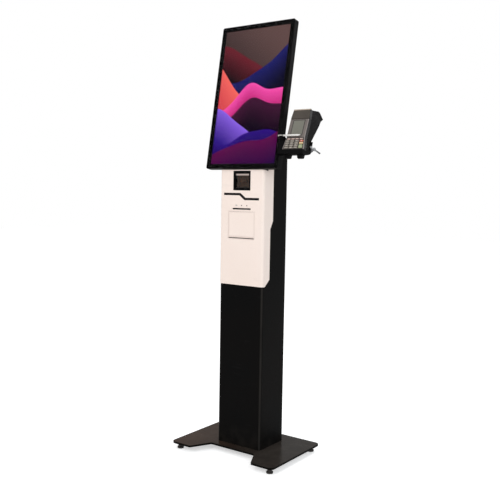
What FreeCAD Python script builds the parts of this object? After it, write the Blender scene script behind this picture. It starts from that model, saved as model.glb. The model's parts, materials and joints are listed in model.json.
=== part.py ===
import FreeCAD, Part
import os
import re

import Sketcher

# A floor-standing self-service kiosk: a steel column on a base plate with levelling feet carries a
# tilted upright display, a white front cover with a code scanner and a receipt printer, and a
# payment terminal on a side arm. Millimetres, +Z up, the front faces -Y, and the origin is on the
# floor under the middle of the base plate.

Vector = FreeCAD.Vector

SIZES = {
    # base plate, with toes each side of a recess in its front edge
    "base_width": 486, "base_depth": 344, "base_thick": 8, "base_corner": 18, "base_top": 30,
    "recess_depth": 83, "recess_mouth": 294, "recess_floor": 208, "recess_fillet": 9,
    # levelling feet
    "foot_across": 216, "foot_along": 146, "foot_radius": 13, "foot_pad": 10, "stud_radius": 4,
    "stud_gap": 0.05, "nut_radius": 7, "nut_height": 6, "stud_top": 27.5,
    # column: folded steel tube whose top is cut to lie along the back of the display
    "column_width": 205, "column_depth": 165, "column_front": -51, "column_wall": 2,
    "column_corner": 10, "column_top": 1236, "flange_thick": 5, "front_wall_top": 1106,
    "bolt_across": 70, "bolt_along": 50, "bolt_radius": 4, "bolt_head": 7.5,
    "bolt_head_depth": 5.3, "front_cut": 132, "front_cut_foot": 842,
    "cap_thick": 2, "cap_skirt": 8,
    # rear door, its hinges and its lock
    "door_width": 166, "door_foot": 151, "door_head": 1129, "door_gap": 1, "door_flange": 8,
    "hinge_x": -85.5, "hinge_y": 118.5, "hinge_radius": 4, "pin_radius": 2.5, "knuckle": 16,
    "hinge_margin": 130,
    "lock_x": 68, "lock_z": 640, "lock_radius": 9, "vent_width": 96, "vent_height": 4,
    "vent_pitch": 12, "inlet_x": -45, "inlet_z": 94, "inlet_half": 13.5, "inlet_rise": 10,
    "computer_foot": 420,
    # white front cover
    "cover_thick": 2, "cover_foot": 668, "cover_top": 1135, "cover_front_top": 1114.6,
    "flank_low": -6.5, "flank_high": 11, "cover_notch": -25, "flank_step_foot": 888,
    "flank_step_head": 919, "chamfer_y": -37, "chamfer_z": 694,
    # code scanner window in the cover
    "window_width": 81, "window_height": 75, "window_z": 1072.5, "window_border": 9,
    "window_recess": 5,
    # printer door, paper slot, lamps and feed button
    "hatch_width": 122, "hatch_foot": 852.5, "hatch_head": 952.6, "hatch_gap": 0.4,
    "hatch_foot_gap": 3, "hatch_pin_y": -48, "hatch_pin_z": 855.5, "hatch_pin_radius": 1.5,
    "slot_width": 86, "slot_height": 6, "slot_z": 964, "lamp_z": 977, "lamp_pitch": 25,
    "lamp_radius": 2.2, "button_width": 8, "button_height": 4.4,
    # receipt printer inside the column
    "chassis_half": 52, "chassis_wall": 2, "chassis_foot": 844, "chassis_head": 1000,
    "chassis_front": -46, "chassis_back": 56, "roll_radius": 38, "roll_width": 80,
    "roll_y": 2, "roll_z": 897, "spindle_radius": 6, "platen_radius": 6, "platen_y": -34, "platen_z": 970.8,
    "shaft_radius": 2.5, "running_gap": 0.05,
    # accent stripe on the cover
    "stripe_height": 9, "stripe_thick": 0.4, "stripe_left": -85, "stripe_knee": -8,
    "stripe_fall": 16, "stripe_right": 81.6, "stripe_high": 1020.5, "stripe_low": 1002.4,
    # display, measured along its own tilted front
    "display_width": 339, "display_height": 571, "display_y": -63.9, "display_z": 1118.7,
    "display_tilt": 10.2, "display_corner": 7, "frame_depth": 10, "rim_depth": 32,
    "housing_depth": 46, "glass_margin": 4, "glass_thick": 3, "active_width": 299,
    "active_height": 531.5, "housing_half": 110, "housing_foot": 165, "housing_head": 405,
    "vesa_half": 50, "vesa_centre": 285, "bracket_thick": 3, "bracket_half": 100.5,
    "flange_screw_y": 70, "flange_screw_low": 40, "flange_screw_high": 107, "screw_radius": 2,
    "screw_length": 9, "screw_head": 2.4,
    # payment terminal, measured along its own tilted face
    "terminal_x": 236.5, "terminal_y": -68, "terminal_z": 1186, "face_tilt": 21.8,
    "case_half": 46, "face_half": 39.5, "head_half": 36, "top_case_depth": 18, "heel": 30,
    "wedge": 0.36, "lens_half": 26, "lens_foot": 56, "lens_head": 118, "lens_depth": 1.5,
    # keys of the terminal
    "key_width": 16, "key_height": 6.2, "key_pitch_x": 20, "key_pitch_z": 8.5, "key_row": 7.5,
    "key_proud": 1.6, "key_well": 7.5, "key_depth": 5.4, "key_gap": 0.3, "key_brim": 0.6,
    "soft_row": 41.5, "soft_width": 13.6, "soft_height": 5.4, "soft_pitch": 17.5,
    # terminal paper roll and lid hinge
    "slip_roll": 19, "slip_width": 57, "slip_y": 38, "slip_z": 138.4, "lid_pin_y": 18,
    "lid_pin_z": 166.5, "lid_pin_radius": 1.5,
    # arm, cradle, clamp lever and stylus
    "tilt_y": 59, "tilt_z": 26, "foot_plate": 15.2, "arm_screw_y": 35,
    "shoe_half": 45, "shoe_top": 51, "wing_left": -64.5, "wing_thick": 16, "bump_middle": 27,
    "arm_radius": 11, "arm_end": 42, "collar_radius": 16,
    "collar_inner": 20, "collar_wide": 14, "lever_reach": 44, "lever_front": 28,
    "lever_radius": 3.6, "lever_boss": 6.5, "lever_droop": 17, "stylus_radius": 3.5,
    "stylus_y": -9, "stylus_z": 52.5, "stylus_left": -70.5, "stylus_length": 96,
}

doc = FreeCAD.newDocument("kiosk")
sheet = doc.addObject("Spreadsheet::Sheet", "Sizes")
for row, (alias, value) in enumerate(SIZES.items(), start=1):
    sheet.set(f"A{row}", alias)
    sheet.set(f"B{row}", str(value))
    sheet.setAlias(f"B{row}", alias)
doc.recompute()

PIECES = []


def size(alias):
    """One driving size as a number, for picking edges by their place."""
    return float(SIZES[alias])


def bound(text):
    """An expression in which each size's plain name is tied to its cell."""
    return re.sub(r"[a-z][a-z_]*", lambda m: "Sizes." + m[0] if m[0] in SIZES else m[0], str(text))


def keep(piece):
    """Mark a finished piece, whose label names its file."""
    PIECES.append(piece)
    return piece


def seat(piece, x="0", y="0", z="0", tilt=None):
    """Stand a piece in the row frame, leaned back about X by tilt degrees."""
    if tilt is not None:
        piece.Placement = FreeCAD.Placement(Vector(), FreeCAD.Rotation(Vector(1, 0, 0), -10))
        piece.setExpression("Placement.Rotation.Angle", bound(f"-({tilt})"))
    for axis, text in (("x", x), ("y", y), ("z", z)):
        piece.setExpression(f"Placement.Base.{axis}", bound(text))
    return piece


def on_display(piece):
    """Place a piece that is drawn on the display's tilted front: Y is depth, Z runs up the glass."""
    return keep(seat(piece, "0", "display_y", "display_z", "display_tilt"))


def on_terminal(piece):
    """Place a piece that is drawn on the terminal's tilted face: Y is depth, Z runs up the keys."""
    return keep(seat(piece, "terminal_x", "terminal_y", "terminal_z", "face_tilt"))


def terminal_point(depth, height):
    """Row-frame Y and Z of a point on the terminal's tilted frame."""
    return (f"(terminal_y + ({depth}) * cos(face_tilt) + ({height}) * sin(face_tilt))",
            f"(terminal_z - ({depth}) * sin(face_tilt) + ({height}) * cos(face_tilt))")


AXIS_Y, AXIS_Z = terminal_point("tilt_y", "tilt_z")


def display_point(depth, height):
    """Row-frame Y and Z of a point on the display's tilted frame."""
    return (f"display_y + ({depth}) * cos(display_tilt) + ({height}) * sin(display_tilt)",
            f"display_z - ({depth}) * sin(display_tilt) + ({height}) * cos(display_tilt)")


def body(label):
    made = doc.addObject("PartDesign::Body", label)
    made.Label = label
    return made


def sketch(owner, role, at="0"):
    """A sketch on one of the body's own planes, moved along that plane's normal."""
    made = owner.newObject("Sketcher::SketchObject", f"{owner.Label}_sketch")
    plane = next(f for f in owner.Origin.OriginFeatures if f.Role == role)
    made.AttachmentSupport = [(plane, "")]
    made.MapMode = "FlatFace"
    made.setExpression("AttachmentOffset.Base.z", bound(at))
    return made


def fix(drawing, geometry, point, x, y):
    """Tie one point of a sketch to two expressions."""
    for kind, text in (("DistanceX", x), ("DistanceY", y)):
        index = drawing.addConstraint(Sketcher.Constraint(kind, -1, 1, geometry, point, 1.0))
        drawing.setExpression(f"Constraints[{index}]", bound(text))


def loop(drawing, corners):
    """A closed outline of straight runs between corners given as pairs of expressions."""
    first = drawing.GeometryCount
    count = len(corners)
    ring = [Vector(FreeCAD.Rotation(Vector(0, 0, 1), 360 * i / count) * Vector(50, 0, 0))
            for i in range(count + 1)]
    for i in range(count):
        drawing.addGeometry(Part.LineSegment(ring[i], ring[i + 1]), False)
    for i in range(count):
        following = first + (i + 1) % count
        drawing.addConstraint(Sketcher.Constraint("Coincident", first + i, 2, following, 1))
    for i, (x, y) in enumerate(corners):
        fix(drawing, first + i, 1, x, y)
    return drawing


def rectangle(drawing, low_x, low_y, high_x, high_y):
    return loop(drawing, [(low_x, low_y), (high_x, low_y), (high_x, high_y), (low_x, high_y)])


def circle(drawing, x, y, radius):
    index = drawing.addGeometry(Part.Circle(Vector(1, 1, 0), Vector(0, 0, 1), 1.0), False)
    fix(drawing, index, 3, x, y)
    ring = drawing.addConstraint(Sketcher.Constraint("Radius", index, 1.0))
    drawing.setExpression(f"Constraints[{ring}]", bound(radius))
    return drawing


def pad(owner, drawing, length, both=False, back=False):
    """Raise a profile along its plane's normal, to both sides of it, or backwards."""
    made = owner.newObject("PartDesign::Pad", f"{owner.Label}_pad")
    made.Profile = drawing
    made.setExpression("Length", bound(length))
    made.SideType = "Symmetric" if both else "One side"
    made.Reversed = back
    drawing.Visibility = False
    return made


def pocket(owner, drawing, length=None, both=False, back=False):
    """Cut a profile to a depth, or through all when no depth is given."""
    made = owner.newObject("PartDesign::Pocket", f"{owner.Label}_pocket")
    made.Profile = drawing
    made.SideType = "Symmetric" if both else "One side"
    made.Reversed = back
    if length is None:
        made.Type = "ThroughAll"
    else:
        made.setExpression("Length", bound(length))
    drawing.Visibility = False
    doc.recompute()
    return made


def turned(owner, drawing, axis):
    """Revolve a profile a full turn about one of its sketch's axes."""
    made = owner.newObject("PartDesign::Revolution", f"{owner.Label}_turn")
    made.Profile = drawing
    made.ReferenceAxis = (drawing, [axis])
    made.Angle = 360
    drawing.Visibility = False
    return made


def row_of(owner, features, role, length, count):
    """Repeat features along an axis of the body."""
    made = owner.newObject("PartDesign::LinearPattern", f"{owner.Label}_row")
    made.Originals = features
    made.Direction = (next(f for f in owner.Origin.OriginFeatures if f.Role == role), [""])
    made.setExpression("Length", bound(length))
    made.Occurrences = count
    owner.Tip = made
    return made


def edges(owner, direction, **places):
    """Names of the tip's straight edges along a direction whose middles are at the given places."""
    doc.recompute()
    names = []
    for number, edge in enumerate(owner.Tip.Shape.Edges, start=1):
        if edge.Curve.TypeId != "Part::GeomLine":
            continue
        run = edge.Vertexes[-1].Point - edge.Vertexes[0].Point
        if run.Length < 1e-6 or run.normalize().cross(direction).Length > 1e-4:
            continue
        middle = edge.CenterOfMass
        if all(any(abs(getattr(middle, axis) - value) < 0.05 for value in values)
               for axis, values in places.items()):
            names.append(f"Edge{number}")
    return names


def ring(owner, axis, value, wanted=lambda middle: True):
    """Names of the tip's edges that lie in one plane across an axis, picked by their middles."""
    doc.recompute()
    names = []
    for number, edge in enumerate(owner.Tip.Shape.Edges, start=1):
        middle = edge.CenterOfMass
        places = [getattr(v.Point, axis) for v in edge.Vertexes] + [getattr(middle, axis)]
        if all(abs(place - value) < 0.02 for place in places) and wanted(middle):
            names.append(f"Edge{number}")
    return names


def dress(owner, kind, names, radius):
    """Fillet or chamfer the named edges of the body's tip."""
    base = owner.Tip
    made = owner.newObject(f"PartDesign::{kind}", f"{owner.Label}_{kind.lower()}")
    made.Base = (base, names)
    made.setExpression("Radius" if kind == "Fillet" else "Size", bound(radius))
    doc.recompute()
    return made


def block(label, low, high):
    """A box between two corners given as expressions."""
    made = doc.addObject("Part::Box", label)
    for name, axis, a, b in zip(("Length", "Width", "Height"), "xyz", low, high):
        made.setExpression(name, bound(f"({b}) - ({a})"))
        made.setExpression(f"Placement.Base.{axis}", bound(a))
    return made


TURNS = {"z": None, "x": ((0, 1, 0), 90), "y": ((1, 0, 0), -90)}


def rod(label, radius, length, at, axis="z"):
    """A cylinder from a point along +X, +Y or +Z."""
    made = doc.addObject("Part::Cylinder", label)
    made.setExpression("Radius", bound(radius))
    made.setExpression("Height", bound(length))
    if TURNS[axis]:
        direction, angle = TURNS[axis]
        made.Placement = FreeCAD.Placement(Vector(), FreeCAD.Rotation(Vector(*direction), angle))
    for name, text in zip("xyz", at):
        made.setExpression(f"Placement.Base.{name}", bound(text))
    return made


def joined(label, shapes):
    made = doc.addObject("Part::MultiFuse", label)
    made.Shapes = shapes
    made.Refine = True
    made.Label = label
    return made


def group(label, shapes):
    """Like pieces that share one node and stay separate solids."""
    made = doc.addObject("Part::Compound", label)
    made.Links = shapes
    made.Label = label
    return made


X, Y, Z = Vector(1, 0, 0), Vector(0, 1, 0), Vector(0, 0, 1)
COLUMN_BACK = "(column_front + column_depth)"
COLUMN_MIDDLE = "(column_front + column_depth / 2)"
COVER_FACE = "(column_front - cover_thick)"


def make_base_plate():
    """A cut steel plate with two toes, and a nut welded under it at each foot."""
    made = body("base_plate")
    front, back, half = "-base_depth / 2", "base_depth / 2", "base_width / 2"
    floor = f"{front} + recess_depth"
    outline = [(f"-{half}", front), ("-recess_mouth / 2", front), ("-recess_floor / 2", floor),
               ("recess_floor / 2", floor), ("recess_mouth / 2", front), (half, front),
               (half, back), (f"-{half}", back)]
    pad(made, loop(sketch(made, "XY_Plane", "base_top - base_thick"), outline), "base_thick")
    wide, deep = size("base_width") / 2, size("base_depth") / 2
    dress(made, "Fillet", edges(made, Z, x=(-wide, wide), y=(-deep, deep)), "base_corner")
    mouth, inner = size("recess_mouth") / 2, size("recess_floor") / 2
    names = edges(made, Z, x=(-mouth, mouth), y=(-deep,))
    names += edges(made, Z, x=(-inner, inner), y=(size("recess_depth") - deep,))
    dress(made, "Fillet", names, "recess_fillet")
    under = "base_top - base_thick - nut_height"
    nuts, holes = sketch(made, "XY_Plane", under), sketch(made, "XY_Plane", under)
    bolts = sketch(made, "XY_Plane", "base_top + 1")
    for a in "-+":
        for b in "-+":
            hexagon(nuts, f"{a}foot_across", f"{b}foot_along", "nut_radius")
            circle(holes, f"{a}foot_across", f"{b}foot_along", "stud_radius + stud_gap")
            fastener_hole(bolts, f"{a}bolt_across", f"{COLUMN_MIDDLE} {b} bolt_along",
                          "bolt_radius")
    pad(made, nuts, "nut_height")
    pocket(made, holes, "nut_height + base_thick - 2", back=True)
    pocket(made, bolts)
    return keep(made)


def hexagon(drawing, x, y, radius):
    """A closed six-sided outline round a point, given its corner radius."""
    corners = [(f"{x} + ({radius}) * cos({60 * i})", f"{y} + ({radius}) * sin({60 * i})")
               for i in range(6)]
    return loop(drawing, corners)


def fastener_hole(drawing, x, y, radius):
    """A six-sided hole whose flats stay 0.3 mm off a hexagonal shank at any turn of it."""
    return hexagon(drawing, x, y, f"({radius} + 0.3) / cos(30)")


def make_foot(label, across, along):
    """A levelling foot: round pad, hexagon to turn it by, and the threaded stud."""
    made = body(label)
    pad(made, circle(sketch(made, "XY_Plane"), "0", "0", "foot_radius"), "foot_pad - 4")
    pad(made, hexagon(sketch(made, "XY_Plane", "foot_pad - 4"), "0", "0", "foot_radius - 3"),
        "7")
    pad(made, circle(sketch(made, "XY_Plane", "foot_pad + 3"), "0", "0", "stud_radius"),
        "stud_top - foot_pad - 3")
    return keep(seat(made, across, along))


def make_base_bolts():
    """Four hexagon bolts from under the plate into the column's foot flange."""
    bolts = []
    for i, (a, b) in enumerate((a, b) for a in "-+" for b in "-+"):
        x, y = f"{a}bolt_across", f"{COLUMN_MIDDLE} {b} bolt_along"
        head = doc.addObject("Part::Prism", f"bolt_head_{i}")
        head.Polygon = 6
        head.setExpression("Circumradius", bound("bolt_head"))
        head.setExpression("Height", bound("bolt_head_depth"))
        seat(head, x, y, "base_top - base_thick - bolt_head_depth")
        shank = doc.addObject("Part::Prism", f"bolt_shank_{i}")
        shank.Polygon = 6
        shank.setExpression("Circumradius", bound("bolt_radius"))
        shank.setExpression("Height", bound("base_thick + flange_thick"))
        seat(shank, x, y, "base_top - base_thick")
        bolts.append(joined(f"bolt_{i}", [head, shank]))
    return keep(group("base_bolts", bolts))


def make_column():
    """The folded tube with a welded foot flange, service openings and the slanted display seat."""
    made = body("column")
    half, inner = "column_width / 2", "(column_width / 2 - column_wall)"
    pad(made, rectangle(sketch(made, "XY_Plane", "base_top"), f"-{half}", "column_front", half,
                        COLUMN_BACK), "column_top - base_top")
    wide, front = size("column_width") / 2, size("column_front")
    back, wall = front + size("column_depth"), size("column_wall")
    room = rectangle(sketch(made, "XY_Plane", "column_top"), f"-{inner}",
                     "column_front + column_wall", inner, f"{COLUMN_BACK} - column_wall")
    pocket(made, room, "column_top - base_top - flange_thick")
    names = edges(made, Z, x=(wall - wide, wide - wall), y=(front + wall, back - wall))
    dress(made, "Fillet", names, "column_corner - column_wall")
    dress(made, "Fillet", edges(made, Z, x=(-wide, wide), y=(front, back)), "column_corner")
    # the display's seat: an open front over the front wall, then a slant along the bracket's back
    behind = "display_y + (housing_depth + bracket_thick) / cos(display_tilt)"
    low = f"{behind} + (front_wall_top - display_z) * tan(display_tilt)"
    high = f"{behind} + (column_top + 1 - display_z) * tan(display_tilt)"
    seat_cut = [("column_front - 1", "front_wall_top"), (low, "front_wall_top"),
                (high, "column_top + 1"), ("column_front - 1", "column_top + 1")]
    pocket(made, loop(sketch(made, "YZ_Plane"), seat_cut), "column_width + 2", both=True)
    opening = rectangle(sketch(made, "XZ_Plane", "1 - column_front"), "-front_cut / 2",
                        "front_cut_foot", "front_cut / 2", "front_wall_top + 1")
    pocket(made, opening, "column_wall + 2")
    rear = sketch(made, "XZ_Plane", f"-{COLUMN_BACK} - 1")
    rectangle(rear, "-door_width / 2 - door_gap", "door_foot - door_gap",
              "door_width / 2 + door_gap", "door_head + door_gap")
    rectangle(rear, "inlet_x - inlet_half", "inlet_z - inlet_rise", "inlet_x + inlet_half",
              "inlet_z + inlet_rise")
    pocket(made, rear, "column_wall + 2", back=True)
    foot = sketch(made, "XY_Plane", "base_top + flange_thick + 1")
    for a in "-+":
        for b in "-+":
            fastener_hole(foot, f"{a}bolt_across", f"{COLUMN_MIDDLE} {b} bolt_along",
                          "bolt_radius")
    pocket(made, foot, "flange_thick + 1")
    sides = sketch(made, "YZ_Plane")
    for height in ("flange_screw_low", "flange_screw_high"):
        y, z = display_point("flange_screw_y", height)
        fastener_hole(sides, y, z, "screw_radius")
    pocket(made, sides, "column_width + 2", both=True)
    arm_holes = sketch(made, "YZ_Plane", "column_width / 2 + 1")
    for b in "-+":
        fastener_hole(arm_holes, "arm_screw_y", f"{AXIS_Z} {b} 8", "screw_radius")
    pocket(made, arm_holes, "column_wall + 2")
    # fixed leaf, knuckle and pin of the door's hinges, repeated up the column
    leaf = pad(made, rectangle(sketch(made, "XY_Plane", "door_foot + hinge_margin - knuckle"),
                               "hinge_x - 5.5", f"{COLUMN_BACK} - 0.5", "hinge_x",
                               f"{COLUMN_BACK} + 2"), "knuckle")
    eye = pad(made, circle(sketch(made, "XY_Plane", "door_foot + hinge_margin - knuckle"),
                            "hinge_x", "hinge_y", "hinge_radius"), "knuckle")
    pin = pad(made, circle(sketch(made, "XY_Plane", "door_foot + hinge_margin - knuckle"),
                           "hinge_x", "hinge_y", "pin_radius"), "2 * knuckle")
    row_of(made, [leaf, eye, pin], "Z_Axis", "door_head - door_foot - 2 * hinge_margin", 2)
    return keep(made)


def make_column_cap():
    """A flat cap behind the display's bracket with a skirt inside the tube."""
    made = body("column_cap")
    front = "display_y + (housing_depth + bracket_thick) / cos(display_tilt) + 23"
    outline = rectangle(sketch(made, "XY_Plane", "column_top"), "-column_width / 2", front,
                        "column_width / 2", COLUMN_BACK)
    pad(made, outline, "cap_thick")
    wide, back = size("column_width") / 2, size("column_front") + size("column_depth")
    dress(made, "Fillet", edges(made, Z, x=(-wide, wide), y=(back,)), "column_corner")
    skirt = sketch(made, "XY_Plane", "column_top - cap_skirt")
    inner = "column_width / 2 - column_wall"
    rectangle(skirt, f"-({inner})", f"{front} + 4", inner, f"{COLUMN_BACK} - column_corner")
    rectangle(skirt, f"2 - ({inner})", f"{front} + 6", f"{inner} - 2",
              f"{COLUMN_BACK} - column_corner - 2")
    pad(made, skirt, "cap_skirt")
    return keep(made)


def make_rear_door():
    """A folded steel door with vent slots, a lock hole and two lift-off knuckles."""
    made = body("rear_door")
    half = "door_width / 2"
    outer = rectangle(sketch(made, "XZ_Plane", f"-{COLUMN_BACK}"), f"-{half}", "door_foot", half,
                      "door_head")
    pad(made, outer, "door_flange + column_wall")
    inner = rectangle(sketch(made, "XZ_Plane", f"door_flange + column_wall - {COLUMN_BACK}"),
                      f"column_wall - {half}", "door_foot + column_wall", f"{half} - column_wall",
                      "door_head - column_wall")
    pocket(made, inner, "door_flange")
    for low in ("door_foot + 42", "door_head - 130"):
        slot = rectangle(sketch(made, "XZ_Plane", f"-{COLUMN_BACK} - 1"), "-vent_width / 2", low,
                         "vent_width / 2", f"{low} + vent_height")
        cut = pocket(made, slot, "column_wall + 2", back=True)
        row_of(made, [cut], "Z_Axis", "7 * vent_pitch", 8)
    lock = circle(sketch(made, "XZ_Plane", f"-{COLUMN_BACK} - 1"), "lock_x", "lock_z",
                  "lock_radius + running_gap")
    pocket(made, lock, "column_wall + 2", back=True)
    base = "door_foot + hinge_margin + 0.3"
    step = [("hinge_x", f"{COLUMN_BACK} + 0.5"), (f"-{half}", f"{COLUMN_BACK} + 0.5"),
            (f"-{half}", COLUMN_BACK), (f"13 - {half}", COLUMN_BACK),
            (f"13 - {half}", f"{COLUMN_BACK} + 2"), ("hinge_x", f"{COLUMN_BACK} + 2")]
    leaf = pad(made, loop(sketch(made, "XY_Plane", base), step), "knuckle - 0.3")
    eye = pad(made, circle(sketch(made, "XY_Plane", base), "hinge_x", "hinge_y", "hinge_radius"),
               "knuckle - 0.3")
    bore = pocket(made, circle(sketch(made, "XY_Plane", f"{base} - 1"), "hinge_x", "hinge_y",
                               "pin_radius + running_gap"), "knuckle + 2", back=True)
    row_of(made, [leaf, eye, bore], "Z_Axis", "door_head - door_foot - 2 * hinge_margin", 2)
    return keep(made)


def make_door_lock():
    """A cam lock: key plug, barrel and a cam that hooks behind the column's wall."""
    made = body("door_lock")
    face = f"-{COLUMN_BACK} - 2.5"
    pad(made, circle(sketch(made, "XZ_Plane", face), "lock_x", "lock_z", "lock_radius + 3"), "2.5")
    pad(made, circle(sketch(made, "XZ_Plane", f"-{COLUMN_BACK}"), "lock_x", "lock_z",
                     "lock_radius"), "column_wall + door_flange + 4")
    cam = rectangle(sketch(made, "XZ_Plane", f"13.5 - {COLUMN_BACK}"), "lock_x - 7", "lock_z - 7",
                    "lock_x + 7", "lock_z + 27")
    pad(made, cam, "2.5", back=True)
    names = edges(made, Y, z=(size("lock_z") + 27,))
    dress(made, "Chamfer", names, "4")
    key = rectangle(sketch(made, "XZ_Plane", face), "lock_x - 1", "lock_z - 5", "lock_x + 1",
                    "lock_z + 5")
    pocket(made, key, "8", back=True)
    return keep(made)


def make_power_inlet():
    """A mains inlet in the rear wall: flange, shroud, socket recess and three pins."""
    made = body("power_inlet")
    face, level = f"-{COLUMN_BACK} - 2", "inlet_z"
    pad(made, rectangle(sketch(made, "XZ_Plane", face), "inlet_x - inlet_half - 4",
                        f"{level} - inlet_rise - 3", "inlet_x + inlet_half + 4",
                        f"{level} + inlet_rise + 3"), "2")
    edge = size("inlet_half") + 4
    names = edges(made, Y, x=(size("inlet_x") - edge, size("inlet_x") + edge))
    dress(made, "Fillet", names, "3")
    pad(made, rectangle(sketch(made, "XZ_Plane", f"-{COLUMN_BACK}"), "inlet_x - inlet_half",
                        f"{level} - inlet_rise", "inlet_x + inlet_half", f"{level} + inlet_rise"),
        "24")
    well = [("inlet_x - 11", f"{level} - 7.5"), ("inlet_x + 11", f"{level} - 7.5"),
            ("inlet_x + 11", f"{level} + 3.5"), ("inlet_x + 7", f"{level} + 7.5"),
            ("inlet_x - 7", f"{level} + 7.5"), ("inlet_x - 11", f"{level} + 3.5")]
    pocket(made, loop(sketch(made, "XZ_Plane", face), well), "17", back=True)
    pins = sketch(made, "XZ_Plane", f"15 - {COLUMN_BACK}")
    for x, z in (("-7", "-2"), ("0", "3"), ("7", "-2")):
        rectangle(pins, f"inlet_x + {x} - 1", f"{level} + {z} - 2", f"inlet_x + {x} + 1",
                  f"{level} + {z} + 2")
    pad(made, pins, "13", back=True)
    return keep(made)


def make_boxes():
    """Power supply on the foot flange and computer on the front wall, both inside the column."""
    floor = "base_top + flange_thick"
    supply = joined("power_supply", [
        block("supply_case", ("-8", "18", floor), ("92", "92", f"{floor} + 46")),
        block("supply_lip", ("-14", "30", floor), ("98", "46", f"{floor} + 2")),
        block("supply_terminals", ("-16", "56", f"{floor} + 8"), ("-8", "88", f"{floor} + 24"))])
    keep(supply)
    wall = "column_front + column_wall"
    case = block("computer_case", ("-84", wall, "computer_foot"),
                 ("84", f"{wall} + 42", "computer_foot + 190"))
    fins = [block(f"computer_fin_{i}", (f"{12 * i} - 74", f"{wall} + 41", "computer_foot + 8"),
                  (f"{12 * i} - 71", f"{wall} + 48", "computer_foot + 182")) for i in range(13)]
    ports = [block(f"computer_port_{i}", (f"{26 * i} - 60", f"{wall} + 12", "computer_foot - 3"),
                   (f"{26 * i} - 44", f"{wall} + 26", "computer_foot + 1")) for i in range(5)]
    keep(joined("computer_box", [case] + fins + ports))


def make_front_cover():
    """White folded sheet over the column's front and flanks, with every opening cut in its face."""
    made = body("front_cover")
    profile = [(COVER_FACE, "cover_foot"), ("chamfer_y", "cover_foot"), ("flank_low", "chamfer_z"),
               ("flank_low", "flank_step_foot"), ("flank_high", "flank_step_head"),
               ("flank_high", "cover_top"), ("cover_notch", "cover_top"),
               ("cover_notch", "cover_front_top - 5.6"), (COVER_FACE, "cover_front_top")]
    pad(made, loop(sketch(made, "YZ_Plane"), profile), "column_width + 2 * cover_thick", both=True)
    inner = rectangle(sketch(made, "XY_Plane", "cover_top + 1"), "-column_width / 2",
                      "column_front", "column_width / 2", "flank_high + 20")
    pocket(made, inner)
    half = size("column_width") / 2
    names = edges(made, Z, x=(-half, half), y=(size("column_front"),))
    dress(made, "Fillet", names, "column_corner")
    wide = size("column_width") / 2 + size("cover_thick")
    front = size("column_front") - size("cover_thick")
    names = edges(made, Z, x=(-wide, wide), y=(front,))
    dress(made, "Fillet", names, "column_corner + cover_thick")
    cuts = sketch(made, "XZ_Plane", f"1 - {COVER_FACE}")
    rectangle(cuts, "-window_width / 2", "window_z - window_height / 2", "window_width / 2",
              "window_z + window_height / 2")
    rectangle(cuts, "-slot_width / 2", "slot_z - slot_height / 2", "slot_width / 2",
              "slot_z + slot_height / 2")
    rectangle(cuts, "-hatch_width / 2 - hatch_gap", "hatch_foot - hatch_foot_gap",
              "hatch_width / 2 + hatch_gap", "hatch_head + hatch_gap")
    rectangle(cuts, "-lamp_pitch - button_width / 2 - 0.3", "lamp_z - button_height / 2 - 0.3",
              "0.3 + button_width / 2 - lamp_pitch", "lamp_z + button_height / 2 + 0.3")
    circle(cuts, "0", "lamp_z", "lamp_radius")
    circle(cuts, "lamp_pitch", "lamp_z", "lamp_radius")
    pocket(made, cuts, "cover_thick + 2")
    w, h = size("window_width") / 2, size("window_height") / 2
    names = edges(made, Y, x=(-w, w), z=(size("window_z") - h, size("window_z") + h))
    dress(made, "Fillet", names, "2")
    w, h = size("slot_width") / 2, size("slot_height") / 2
    names = edges(made, Y, x=(-w, w), z=(size("slot_z") - h, size("slot_z") + h))
    dress(made, "Fillet", names, "1.5")
    return keep(made)


def make_accent_stripe():
    """A thin decal in three runs: level, falling, level."""
    made = body("accent_stripe")
    t, lean = "(stripe_height / 2)", "(stripe_height / 3.6)"
    outline = [("stripe_left", f"stripe_high - {t}"),
               (f"stripe_knee - {lean}", f"stripe_high - {t}"),
               (f"stripe_fall - {lean}", f"stripe_low - {t}"),
               ("stripe_right", f"stripe_low - {t}"), ("stripe_right", f"stripe_low + {t}"),
               (f"stripe_fall + {lean}", f"stripe_low + {t}"),
               (f"stripe_knee + {lean}", f"stripe_high + {t}"),
               ("stripe_left", f"stripe_high + {t}")]
    pad(made, loop(sketch(made, "XZ_Plane", f"-{COVER_FACE}"), outline), "stripe_thick")
    return keep(made)


def upright(made, role_at, half_width, middle, half_height):
    """A rectangle on the body's XZ plane, given by its middle height."""
    return rectangle(sketch(made, "XZ_Plane", role_at), f"-({half_width})",
                     f"{middle} - ({half_height})", half_width, f"{middle} + ({half_height})")


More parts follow.
